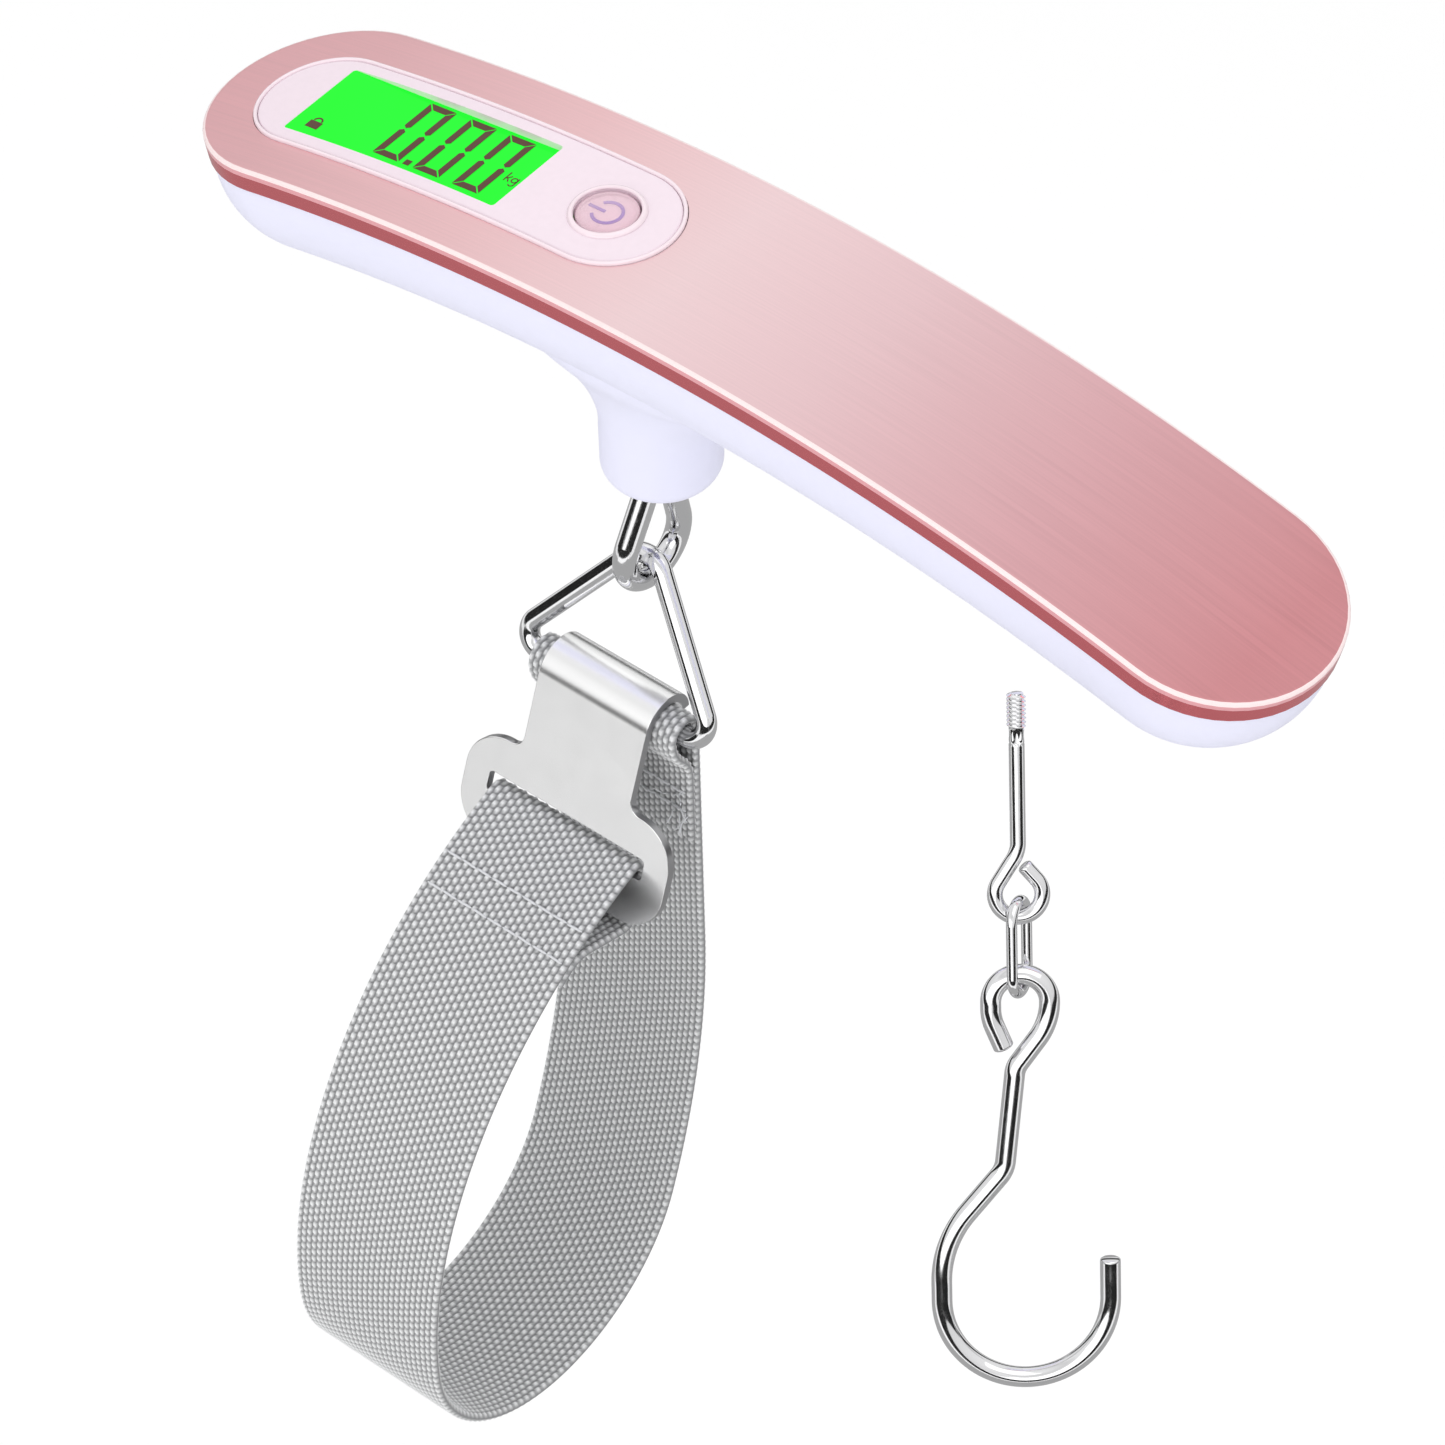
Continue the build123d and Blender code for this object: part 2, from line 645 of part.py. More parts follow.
def spare_hook():
    """Hook bent from one wire: point, bowl, neck and eye."""
    bowl = [5.0, (BOWL_R, -180.0), 2.4, (14.0, -40.0)]
    neck = [6.0, (3.8, 33.6), 11.25, (3.0, -30.0), 3.7]
    eye = [(8.0, 36.4), (HOOK_EYE_R, 180.0), 0.8, (6.0, 22.0), 3.0]
    hook = wire_along(HOOK_POINT, -90, bowl + neck + eye, HOOK_WIRE_R)
    return spare_frame() * hook


# ================================================================ output


def export(name, shape):
    """Writes one node; a list becomes a group of separate solids."""
    if isinstance(shape, list):
        shape = Compound(shape)
    export_step(shape, "parts/" + name + ".step")


def placed(shape):
    """Puts a piece drawn at the window's middle onto the arch."""
    if isinstance(shape, list):
        return [on_arch(WINDOW_S) * piece for piece in shape]
    return on_arch(WINDOW_S) * shape


def main():
    os.makedirs("parts", exist_ok=True)
    for make in (face_cover, inner_frame, lower_shell, battery_door, case_screws, stem_bush):
        export(make.__name__, make())
    for make in (display_window, window_bezel, power_button, button_ring):
        export(make.__name__, make())
    for make in (lcd_glass, lcd_backlight, lcd_connectors, lcd_holder):
        export(make.__name__, placed(make()))
    for make in (circuit_board, board_chips, tact_switch):
        export(make.__name__, placed(make()))
    for make in (coin_cell, battery_holder, battery_contact_negative, battery_contact_positive):
        export(make.__name__, make())
    for make in (load_cell, strain_gauges, beam_screws, eye_washer, eye_nut, load_eye):
        export(make.__name__, make())
    for make in (triangle_ring, strap_loop, strap_back_end, back_stitching):
        export(make.__name__, make())
    for make in (t_hook_plate, strap_front_end, front_stitching):
        export(make.__name__, make())
    for make in (spare_shank, spare_link, spare_hook):
        export(make.__name__, make())


main()
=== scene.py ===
"""Looks for the hanging scale. Sizes are in millimetres until make_object() turns them into metres."""

import json
import math
import random

import bmesh
import bpy
from mathutils import Matrix, Vector


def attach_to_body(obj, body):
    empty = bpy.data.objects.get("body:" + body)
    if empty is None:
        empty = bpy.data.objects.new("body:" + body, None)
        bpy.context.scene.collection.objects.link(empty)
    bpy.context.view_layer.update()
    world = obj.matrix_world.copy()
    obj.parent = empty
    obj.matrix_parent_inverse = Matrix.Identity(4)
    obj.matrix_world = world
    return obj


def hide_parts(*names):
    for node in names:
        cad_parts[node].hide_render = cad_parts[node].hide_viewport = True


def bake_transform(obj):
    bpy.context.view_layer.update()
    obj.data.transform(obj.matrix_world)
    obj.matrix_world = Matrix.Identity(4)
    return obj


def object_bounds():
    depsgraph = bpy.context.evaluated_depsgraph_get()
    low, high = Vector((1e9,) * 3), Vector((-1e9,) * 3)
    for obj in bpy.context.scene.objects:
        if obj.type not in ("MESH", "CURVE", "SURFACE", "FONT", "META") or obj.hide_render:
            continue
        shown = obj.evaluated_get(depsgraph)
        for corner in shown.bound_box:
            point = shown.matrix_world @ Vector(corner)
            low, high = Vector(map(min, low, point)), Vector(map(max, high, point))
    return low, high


MM = 0.001

# ---------------------------------------------------------------- handle
ARCH_R = 306.0  # radius of the arched face
CROWN_X = 16.0  # the crown stands this far from the load axis
HALF_WIDTH = 16.5
STRAIGHT = 71.8  # crown to the start of a rounded end, along the face
SHEET = 0.8
RIM_DEPTH = 3.4
RIM_ROUND = 0.45  # rounding between the face and the rim
ROSE_PAINTED_REFLECTION_SPAN = (-75.0, 105.0)  # along the handle, for the painted reflection below
ROSE_PAINTED_REFLECTION = [  # painted reflection, paler over the crown and darker towards the far end: place in that span, colour
    (0.0, (0.85, 0.48, 0.51)),
    (0.3, (0.86, 0.56, 0.58)),
    (0.46, (0.86, 0.65, 0.67)),
    (0.6, (0.81, 0.57, 0.595)),
    (0.78, (0.74, 0.42, 0.45)),
    (0.95, (0.65, 0.285, 0.305)),
]

# ---------------------------------------------------------------- display and button
WINDOW_S = -47.4  # middle of the window, along the face from the crown
WINDOW_HALF = 33.5
WINDOW_R = 8.95
BEZEL = 0.65
LCD_SIZE = (36.2, 13.9)
LCD_X = -7.4  # middle of the display from the middle of the window
LCD_TOP = -0.85  # height over the face
DIGIT_LEFTS = (13.9, 20.8, 27.5)  # from the left edge of the display
DIGIT_SIZE = (4.45, 11.6)
DIGIT_BOTTOM = 1.75  # above the display's lower edge
DIGIT_STROKE = 1.05
DIGIT_GAP = 0.13
POINT_X = 19.55  # middle of the decimal point, from the left edge of the display
POINT_HALF = 0.5
UNIT_AT = (32.95, 5.6)  # foot of the "kg", from the display's lower left corner
UNIT_STROKE = 0.18
LOCK_AT = (2.2, 1.6)  # lower left of the padlock, from the same corner
LOCK_BODY = (2.0, 1.4)
SHACKLE_R = 0.62
SHACKLE_STROKE = 0.26
INK_HEIGHTS = (0.005, 0.045)  # of the lit marks, over the display
BUTTON_S = -23.6  # middle of the button, along the face from the crown
BUTTON_R = 4.2
DOME_RISE = 1.4
SIGN_R = 2.0  # ring of the power sign
SIGN_OPENING = 72  # degrees left out of that ring
SIGN_STROKE = 0.46

# ---------------------------------------------------------------- webbing
# In a list of runs, a number is a straight length and a pair is an arc's radius and its turn in degrees.
BAR = (-11.4165, -74.0264)  # middle of the triangle's base bar, in (y, z)
WRAP_R = 2.35  # bar to the middle of the webbing that turns over it
WEB_HALF_WIDTH = 12.5
WEB_THICK = 1.3
FOLD_R = 63.5  # of the band where it rises to the plate
BACK_RUNS = [(WRAP_R, 180.0), (7.0, 40.5), (7.0, -40.5), 12.0]
LOOP_BACK_RUNS = [42.0, (130.0, -21.0), (25.5, -69.0)]
LOOP_FRONT_RUNS = [(25.5, -87.0), (FOLD_R, -57.5), 0.3]
FOLD_RUNS = [(FOLD_R, -16.5), 1.3, (1.6, -129.0), 7.2, (1.6, -88.0), 7.45, (5.0, 51.5), 2.0]
WARPS = 27  # yarns across the band
WEFT_PITCH = 1.28  # along the band, for one over-and-under
WEAVE_HEIGHT = 0.34
ROW_STEP = 0.32  # between rows of points along the band
POINTS_PER_WARP = 3
STITCH_LENGTH = 2.45
STITCH_PITCH = 2.6
STITCHES = 9
STITCH_R = 0.17
FRONT_ROWS = (4.0, 8.5)  # rows of stitches, along the front end of the band
BACK_ROWS = (12.0, 15.5)  # rows of stitches, below the middle of the bar
LOOSE_THREADS = 9

# ---------------------------------------------------------------- spare hook set
SPARE_AT = (90.7, -42.4, -49.6)  # origin of the set's own plane
SPARE_TURN = 40.3  # degrees about the vertical
SPARE_LEAN = 30.0  # degrees from upright
SHANK_R = 0.95
SHANK_TOP = 43.9  # top of the thread over that origin
SHANK_RUNS = [14.61, (4.0, -32.0), 3.41, (2.85, 252.0), 2.4]
HOOK_R = 1.27
HOOK_POINT = (10.575, -28.4)  # free end of the hook, where its runs begin
HOOK_RUNS = [5.0, (10.3, -180.0), 2.4, (14.0, -40.0)]
HOOK_RUNS += [6.0, (3.8, 33.6), 11.25, (3.0, -30.0), 3.7]
HOOK_RUNS += [(8.0, 36.4), (3.55, 180.0), 0.8, (6.0, 22.0), 3.0]
THREAD_R = 1.2
THREAD_LENGTH = 4.1
THREAD_PITCH = 0.52
THREAD_DEPTH = 0.34
CRIMP_LENGTH = 2.2

# ---------------------------------------------------------------- camera
CAMERA_TURN = 40.27  # degrees, as are the next two
CAMERA_HEIGHT = 47.066
CAMERA_ROLL = -1.538
CAMERA_SHIFT = (8.508, -60.822)  # of what it looks at, across and up the picture
CAMERA_DISTANCE = 840.05
CAMERA_LENS = 168.17

# ---------------------------------------------------------------- studio, in metres
# The sky's greys, by height from straight down (0) to straight up (1).
SKY = [(0.0, 0.85), (0.6, 0.82), (0.72, 0.88), (0.85, 0.95), (0.91, 0.76), (1.0, 0.68)]
FLOOR_DROP = 0.16  # from the lowest point of the part
FLOOR_HALF = 6.0
LOW_CARD_HALF = 0.75
LOW_CARD_LIFT = 0.002
LOW_CARD_GREY = 0.45
BELT_R = 1.3
BELT_HEIGHTS = (-0.27, 0.13)
BELT_GREY = 0.02

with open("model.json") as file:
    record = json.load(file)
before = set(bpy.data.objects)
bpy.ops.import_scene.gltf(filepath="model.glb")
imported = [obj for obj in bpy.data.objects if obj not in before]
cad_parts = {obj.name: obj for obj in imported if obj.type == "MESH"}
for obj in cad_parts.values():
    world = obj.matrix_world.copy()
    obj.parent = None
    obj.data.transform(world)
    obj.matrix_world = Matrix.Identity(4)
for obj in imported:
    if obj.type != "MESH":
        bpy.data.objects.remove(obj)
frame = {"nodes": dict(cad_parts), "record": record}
cad_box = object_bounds()
record = frame["record"]
random.seed(7)


# ================================================================ materials


def shader(name, colour, roughness, **sockets):
    """Principled material with values set on the shader's own sockets."""
    material = bpy.data.materials.new(name)
    material.use_nodes = True
    bsdf = material.node_tree.nodes["Principled BSDF"]
    bsdf.inputs["Base Color"].default_value = (*colour, 1.0)
    bsdf.inputs["Roughness"].default_value = roughness
    for socket, value in sockets.items():
        bsdf.inputs[socket.replace("_", " ")].default_value = value
    return material


def noise(material, scale, stretch=(1.0, 1.0, 1.0), detail=3.0):
    """Noise in the part's own space; scale is cells per metre."""
    nodes, links = material.node_tree.nodes, material.node_tree.links
    place = nodes.new("ShaderNodeTexCoord")
    mapping = nodes.new("ShaderNodeMapping")
    mapping.inputs["Scale"].default_value = stretch
    texture = nodes.new("ShaderNodeTexNoise")
    texture.inputs["Scale"].default_value = scale
    texture.inputs["Detail"].default_value = detail
    links.new(place.outputs["Object"], mapping.inputs["Vector"])
    links.new(mapping.outputs["Vector"], texture.inputs["Vector"])
    return texture.outputs["Fac"]


def remap(material, value, socket, low, high):
    """Feeds a 0 to 1 pattern to one of the shader's numbers."""
    nodes, links = material.node_tree.nodes, material.node_tree.links
    spread = nodes.new("ShaderNodeMapRange")
    spread.inputs["From Min"].default_value = 0.3
    spread.inputs["From Max"].default_value = 0.7
    spread.inputs["To Min"].default_value = low
    spread.inputs["To Max"].default_value = high
    links.new(value, spread.inputs["Value"])
    links.new(spread.outputs["Result"], nodes["Principled BSDF"].inputs[socket])


def tint(material, value, dark, light, span=(0.3, 0.7)):
    """Colours the surface between two colours by a pattern."""
    nodes, links = material.node_tree.nodes, material.node_tree.links
    ramp = nodes.new("ShaderNodeValToRGB")
    ramp.color_ramp.elements[0].position = span[0]
    ramp.color_ramp.elements[1].position = span[1]
    ramp.color_ramp.elements[0].color = (*dark, 1.0)
    ramp.color_ramp.elements[1].color = (*light, 1.0)
    links.new(value, ramp.inputs["Fac"])
    links.new(ramp.outputs["Color"], nodes["Principled BSDF"].inputs["Base Color"])


def emboss(material, value, strength, depth):
    """Bump from a pattern; depth is in millimetres."""
    nodes, links = material.node_tree.nodes, material.node_tree.links
    bump = nodes.new("ShaderNodeBump")
    bump.inputs["Strength"].default_value = strength
    bump.inputs["Distance"].default_value = depth * MM
    links.new(value, bump.inputs["Height"])
    links.new(bump.outputs["Normal"], nodes["Principled BSDF"].inputs["Normal"])


def brushed_rose():
    """Rose gold sheet, finely brushed along the handle, with a painted reflection: paler over the crown,
    darker towards the far end.
    """
    material = shader("brushed_rose", (0.80, 0.46, 0.48), 0.36, Metallic=1.0)
    nodes, links = material.node_tree.nodes, material.node_tree.links
    streaks = noise(material, 3200, (0.012, 1.0, 0.012), 2.0)
    remap(material, streaks, "Roughness", 0.33, 0.42)
    emboss(material, streaks, 0.25, 0.006)
    # painted reflection: the colour changes along the handle, paler over the crown and darker towards
    # the far end
    place, axes = nodes.new("ShaderNodeTexCoord"), nodes.new("ShaderNodeSeparateXYZ")
    spread, ramp = nodes.new("ShaderNodeMapRange"), nodes.new("ShaderNodeValToRGB")
    spread.inputs["From Min"].default_value = ROSE_PAINTED_REFLECTION_SPAN[0] * MM
    spread.inputs["From Max"].default_value = ROSE_PAINTED_REFLECTION_SPAN[1] * MM
    for position, colour in ROSE_PAINTED_REFLECTION:
        ramp.color_ramp.elements.new(position).color = (*colour, 1.0)
    ramp.color_ramp.elements.remove(ramp.color_ramp.elements[0])
    ramp.color_ramp.elements.remove(ramp.color_ramp.elements[-1])
    shade, blend = nodes.new("ShaderNodeMapRange"), nodes.new("ShaderNodeVectorMath")
    shade.inputs["To Min"].default_value = 0.91
    shade.inputs["To Max"].default_value = 1.07
    blend.operation = "SCALE"
    links.new(place.outputs["Object"], axes.inputs["Vector"])
    links.new(axes.outputs["X"], spread.inputs["Value"])
    links.new(spread.outputs["Result"], ramp.inputs["Fac"])
    links.new(streaks, shade.inputs["Value"])
    links.new(ramp.outputs["Color"], blend.inputs[0])
    links.new(shade.outputs["Result"], blend.inputs["Scale"])
    links.new(blend.outputs["Vector"], nodes["Principled BSDF"].inputs["Base Color"])
    return material


def metal(name, colour, roughness, spread, grain=700, depth=0.01):
    """Plated or polished metal with faint uneven gloss."""
    material = shader(name, colour, roughness, Metallic=1.0)
    smudges = noise(material, grain)
    remap(material, smudges, "Roughness", roughness - spread, roughness + spread)
    if depth:
        emboss(material, smudges, 0.15, depth)
    return material


def plastic(name, colour, roughness, coat=0.0, grain=900, depth=0.02, variation=0.03):
    """Moulded plastic with a fine orange-peel surface."""
    material = shader(name, colour, roughness, Coat_Weight=coat, Coat_Roughness=0.06)
    peel = noise(material, grain, detail=2.0)
    dark = [channel * (1 - variation) for channel in colour]
    light = [min(1.0, channel * (1 + variation)) for channel in colour]
    tint(material, peel, dark, light)
    remap(material, peel, "Roughness", roughness * 0.85, roughness * 1.15)
    emboss(material, peel, 0.12, depth)
    return material


def backlit_green():
    """Lit display: green light that is a little uneven, under gloss."""
    material = shader("backlit_green", (0.0, 0.02, 0.0), 0.2, Specular_IOR_Level=0.2)
    bsdf = material.node_tree.nodes["Principled BSDF"]
    bsdf.inputs["Emission Strength"].default_value = 1.0
    glow = noise(material, 60, detail=1.0)
    nodes, links = material.node_tree.nodes, material.node_tree.links
    ramp = nodes.new("ShaderNodeValToRGB")
    ramp.color_ramp.elements[0].color = (0.0, 0.93, 0.012, 1.0)
    ramp.color_ramp.elements[1].color = (0.006, 1.0, 0.03, 1.0)
    links.new(glow, ramp.inputs["Fac"])
    links.new(ramp.outputs["Color"], bsdf.inputs["Emission Color"])
    return material


def woven(name, dark, light):
    """Yarn: painted shade between the bumps, light on them, with fine fibres."""
    material = shader(name, light, 0.75, Sheen_Weight=0.3, Sheen_Roughness=0.5)
    nodes, links = material.node_tree.nodes, material.node_tree.links
    # painted shade: the weave attribute darkens the yarn where the cloth is low
    shade = nodes.new("ShaderNodeAttribute")
    shade.attribute_name = "weave"
    tint(material, shade.outputs["Fac"], dark, light, (0.0, 1.0))
    fibres = noise(material, 5200, (1.0, 1.0, 0.6), 3.0)
    emboss(material, fibres, 0.55, 0.12)
    return material


def clear_pink():
    """Clear dome with a faint pink tint and a hard gloss."""
    material = shader("clear_pink", (0.95, 0.72, 0.80), 0.05, Coat_Weight=1.0, Coat_Roughness=0.02)
    nodes, links = material.node_tree.nodes, material.node_tree.links
    rim, spread = nodes.new("ShaderNodeLayerWeight"), nodes.new("ShaderNodeMapRange")
    rim.inputs["Blend"].default_value = 0.35
    spread.inputs["To Min"].default_value = 0.10
    spread.inputs["To Max"].default_value = 0.55
    links.new(rim.outputs["Facing"], spread.inputs["Value"])
    links.new(spread.outputs["Result"], nodes["Principled BSDF"].inputs["Alpha"])
    return material


M = {
    "rose_metal": brushed_rose(),
    "rim": metal("polished_rim", (0.98, 0.25, 0.28), 0.2, 0.03),
    # painted highlight: a paler band at the top of the rim and a near-white line on its rounding stand
    # in for the rim's reflection
    "rim_pale": plastic("rim_painted_highlight_band", (0.74, 0.34, 0.37), 0.35, 0.3, variation=0.01),
    "edge": plastic("edge_painted_highlight", (0.97, 0.80, 0.80), 0.3, 0.5, variation=0.01),
    "shell_plastic": plastic("lavender_satin", (0.80, 0.80, 0.95), 0.45, 0.0, 700, 0.002, 0.004),
    "frame_plastic": plastic("white_moulding", (0.75, 0.75, 0.78), 0.45),
    "window_plastic": plastic("milky_pink", (0.90, 0.76, 0.84), 0.16, 0.8, variation=0.012),
    "bezel_plastic": plastic("pale_lip", (0.95, 0.80, 0.86), 0.12, 0.8, variation=0.01),
    "button_plastic": plastic("rose_core", (0.93, 0.70, 0.78), 0.3, 0.3, variation=0.01),
    "clear": clear_pink(),
    "lcd": backlit_green(),
    "segment": plastic("lcd_brown", (0.10, 0.042, 0.024), 0.6, variation=0.08),
    "symbol": plastic("lavender_print", (0.28, 0.16, 0.60), 0.4),
    "light_guide": plastic("light_guide", (0.5, 0.9, 0.5), 0.2),
    "elastomer": plastic("elastomer", (0.52, 0.27, 0.35), 0.7),
    "board": plastic("solder_mask", (0.01, 0.10, 0.03), 0.35, 0.3),
    "chips": plastic("black_moulding", (0.02, 0.02, 0.022), 0.5),
    "steel": metal("chrome_wire", (0.80, 0.80, 0.81), 0.09, 0.03, 500, 0.004),
    "screw_steel": metal("zinc_steel", (0.55, 0.55, 0.58), 0.28, 0.08),
    "plate_steel": metal("satin_nickel", (0.99, 0.99, 0.99), 0.26, 0.01, 300, 0.0),
    # painted shade: a darker grey for the plate's edges
    "plate_edge": metal("cut_edge_painted_shade", (0.42, 0.42, 0.43), 0.3, 0.02, 300, 0.0),
    "beam": metal("machined_aluminium", (0.62, 0.62, 0.64), 0.3, 0.06),
    "foil": plastic("foil", (0.7, 0.36, 0.06), 0.4),
    "cell": metal("nickel_can", (0.62, 0.62, 0.64), 0.2, 0.05),
    # the dark colour is painted shade between the bumps
    "webbing": woven("grey_webbing", (0.10, 0.103, 0.107), (0.97, 0.975, 0.985)),
    "thread": plastic("grey_thread", (0.72, 0.73, 0.75), 0.7, grain=4000, depth=0.05),
}


def dress_nodes():
    """Gives every CAD node the material of its slot."""
    for part in record["subparts"]:
        node = frame["nodes"][part["node"]]
        node.data.materials.clear()
        node.data.materials.append(M[part["material_slot"]])


# ================================================================ mesh helpers


def arch(s):
    """Frame on the arched face at a distance along it; the ends past STRAIGHT are flat."""
    s = max(-STRAIGHT, min(STRAIGHT, s))
    angle = s / ARCH_R
    place = Vector((CROWN_X + ARCH_R * math.sin(angle), 0, ARCH_R * math.cos(angle) - ARCH_R))
    return Matrix.Translation(place) @ Matrix.Rotation(angle, 4, "Y")


def on_face(s, y, z):
    """Point at a height over the face, following the arch."""
    flat = max(-STRAIGHT, min(STRAIGHT, s))
    return arch(s) @ Vector((s - flat, y, z))


def make_object(name, verts, faces, materials, face_materials=None):
    """Smooth-shaded object from millimetre points."""
    mesh = bpy.data.meshes.new(name)
    mesh.from_pydata([Vector(v) * MM for v in verts], [], faces)
    for material in materials:
        mesh.materials.append(material)
    if face_materials:
        mesh.polygons.foreach_set("material_index", face_materials)
    mesh.polygons.foreach_set("use_smooth", [True] * len(mesh.polygons))
    piece = bpy.data.objects.new(name, mesh)
    bpy.context.scene.collection.objects.link(piece)
    return piece


def attach(piece, body, slot, *nodes):
    """Puts a piece on its body, in place of its nodes; the slot is not used."""
    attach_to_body(piece, body)
    if nodes:
        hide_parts(*nodes)
    return piece


def loft(rings, closed=False, open_after=None):
    """Quads between rings; closed joins the last to the first, and one gap may stay open."""
    count = len(rings[0])
    verts = [point for ring in rings for point in ring]
    faces = []
    total = len(rings) if closed else len(rings) - 1
    for row in range(total):
        if row == open_after:
            continue
        here, there = row * count, (row + 1) % len(rings) * count
        for i in range(count):
            j = (i + 1) % count
            faces.append((here + i, here + j, there + j, there + i))
    return verts, faces


def slot_ring(middle, straight, radius, z, arc_steps=28, side_steps=60):
    """Closed ring round a slot outline that follows the face."""
    ring = []
    for side in (1, -1):
        for step in range(arc_steps):
            angle = math.pi * step / arc_steps - math.pi / 2
            s = middle + side * (straight + radius * math.cos(angle))
            ring.append(on_face(s, side * radius * math.sin(angle), z))
        for step in range(side_steps):
            s = middle + side * straight * (1 - 2 * step / side_steps)
            ring.append(on_face(s, side * radius, z))
    return ring


def clean(piece):
    """Merges doubled points and turns the faces outward."""
    bm = bmesh.new()
    bm.from_mesh(piece.data)
    bmesh.ops.remove_doubles(bm, verts=bm.verts, dist=1e-6)
    bmesh.ops.recalc_face_normals(bm, faces=bm.faces)
    bm.to_mesh(piece.data)
    bm.free()


def bake_modifiers(piece):
    """Replaces the mesh with the result of its modifiers."""
    depsgraph = bpy.context.evaluated_depsgraph_get()
    mesh = bpy.data.meshes.new_from_object(piece.evaluated_get(depsgraph))
    piece.modifiers.clear()
    piece.data = mesh


def cut(piece, cutters):
    """Takes the cutters' solids out of a piece."""
    for cutter in cutters:
        modifier = piece.modifiers.new("cut", "BOOLEAN")
        modifier.operation = "DIFFERENCE"
        modifier.solver = "EXACT"
        modifier.object = cutter
        bake_modifiers(piece)
        bpy.data.objects.remove(cutter)


def prism(matrix, outline, bottom, top):
    """Plain cutter: an outline extruded between two heights."""
    rings = [[matrix @ Vector((x, y, z)) for x, y in outline] for z in (bottom, top)]
    verts, faces = loft(rings)
    count = len(outline)
    faces += [tuple(range(count))[::-1], tuple(range(count, 2 * count))]
    cutter = make_object("cutter", verts, faces, [])
    clean(cutter)
    return cutter


def circle(radius, steps=64):
    """Points round a circle in the plane."""
    turns = [2 * math.pi * step / steps for step in range(steps)]
    return [(radius * math.cos(a), radius * math.sin(a)) for a in turns]


def rounded_box(width, height, radius, x, steps=6):
    """Rectangle outline with rounded corners, with its middle at x."""
    points = []
    for turn, (sx, sy) in enumerate(((1, 1), (-1, 1), (-1, -1), (1, -1))):
        cx, cy = x + sx * (width / 2 - radius), sy * (height / 2 - radius)
        for step in range(steps + 1):
            angle = math.radians(90) * (turn + step / steps)
            points.append((cx + radius * math.cos(angle), cy + radius * math.sin(angle)))
    return points


def crease(piece, angle):
    """Stops the smooth shading at edges sharper than an angle in degrees."""
    bm = bmesh.new()
    bm.from_mesh(piece.data)
    for edge in bm.edges:
        edge.smooth = len(edge.link_faces) == 2 and edge.calc_face_angle() < math.radians(angle)
    bm.to_mesh(piece.data)
    bm.free()


def soften(piece, width, least_angle=32.0):
    """Rounds the edges sharper than an angle in degrees and keeps the flat faces flat."""
    bm = bmesh.new()
    bm.from_mesh(piece.data)
    bmesh.ops.remove_doubles(bm, verts=bm.verts, dist=2e-6)
    bmesh.ops.dissolve_limit(
        bm, angle_limit=math.radians(0.2), verts=bm.verts, edges=bm.edges, delimit={"MATERIAL"}
    )
    limit = math.radians(least_angle)
    sharp = [e for e in bm.edges if len(e.link_faces) == 2 and e.calc_face_angle() > limit]
    bmesh.ops.bevel(
        bm,
        geom=sharp,
        offset=width * MM,
        segments=3,
        profile=0.5,
        affect="EDGES",
        clamp_overlap=True,
    )
    for face in bm.faces:
        face.smooth = True
    bm.to_mesh(piece.data)
    bm.free()
    modifier = piece.modifiers.new("normals", "WEIGHTED_NORMAL")
    modifier.weight = 80
    bake_modifiers(piece)


def softened(node, width):
    """Copy of a CAD node with rounded edges, shown in its place."""
    source = frame["nodes"][node]
    piece = bpy.data.objects.new(node + "_soft", source.data.copy())
    piece.matrix_world = source.matrix_world.copy()
    bpy.context.scene.collection.objects.link(piece)
    soften(piece, width)
    slots = {part["node"]: part["material_slot"] for part in record["subparts"]}
    return attach(piece, body_of(node), slots[node], node)


def paint_edge_shade(piece, material, fold):
    """Paints shade on a plate's cut edges with a darker material; the faces of the fold at its top keep
    theirs.
    """
    piece.data.materials.append(material)
    top = max(vertex.co.z for vertex in piece.data.vertices)
    front = max(piece.data.polygons, key=lambda face: face.area).normal.copy()
    for face in piece.data.polygons:
        sideways = abs(face.normal.x) > 0.45
        below_fold = face.center.z < top - fold * MM
        if sideways or (below_fold and abs(face.normal.dot(front)) < 0.45):
            face.material_index = 1


def body_of(node):
    """Name of the body that a CAD node belongs to."""
    for body, nodes in record["behaviour"]["bodies"].items():
        if node in nodes:
            return body
    raise KeyError(node)


def lathe(name, matrix, profile, material, steps=72):
    """Turned piece; profile is (radius, height), closed on itself or on the axis."""
    rings = []
    for radius, z in profile:
        rings.append([matrix @ Vector((x, y, z)) for x, y in circle(max(radius, 1e-4), steps)])
    verts, faces = loft(rings, closed=profile[0][0] > 0.01)
    piece = make_object(name, verts, faces, [material])
    clean(piece)
    return piece


# ================================================================ handle


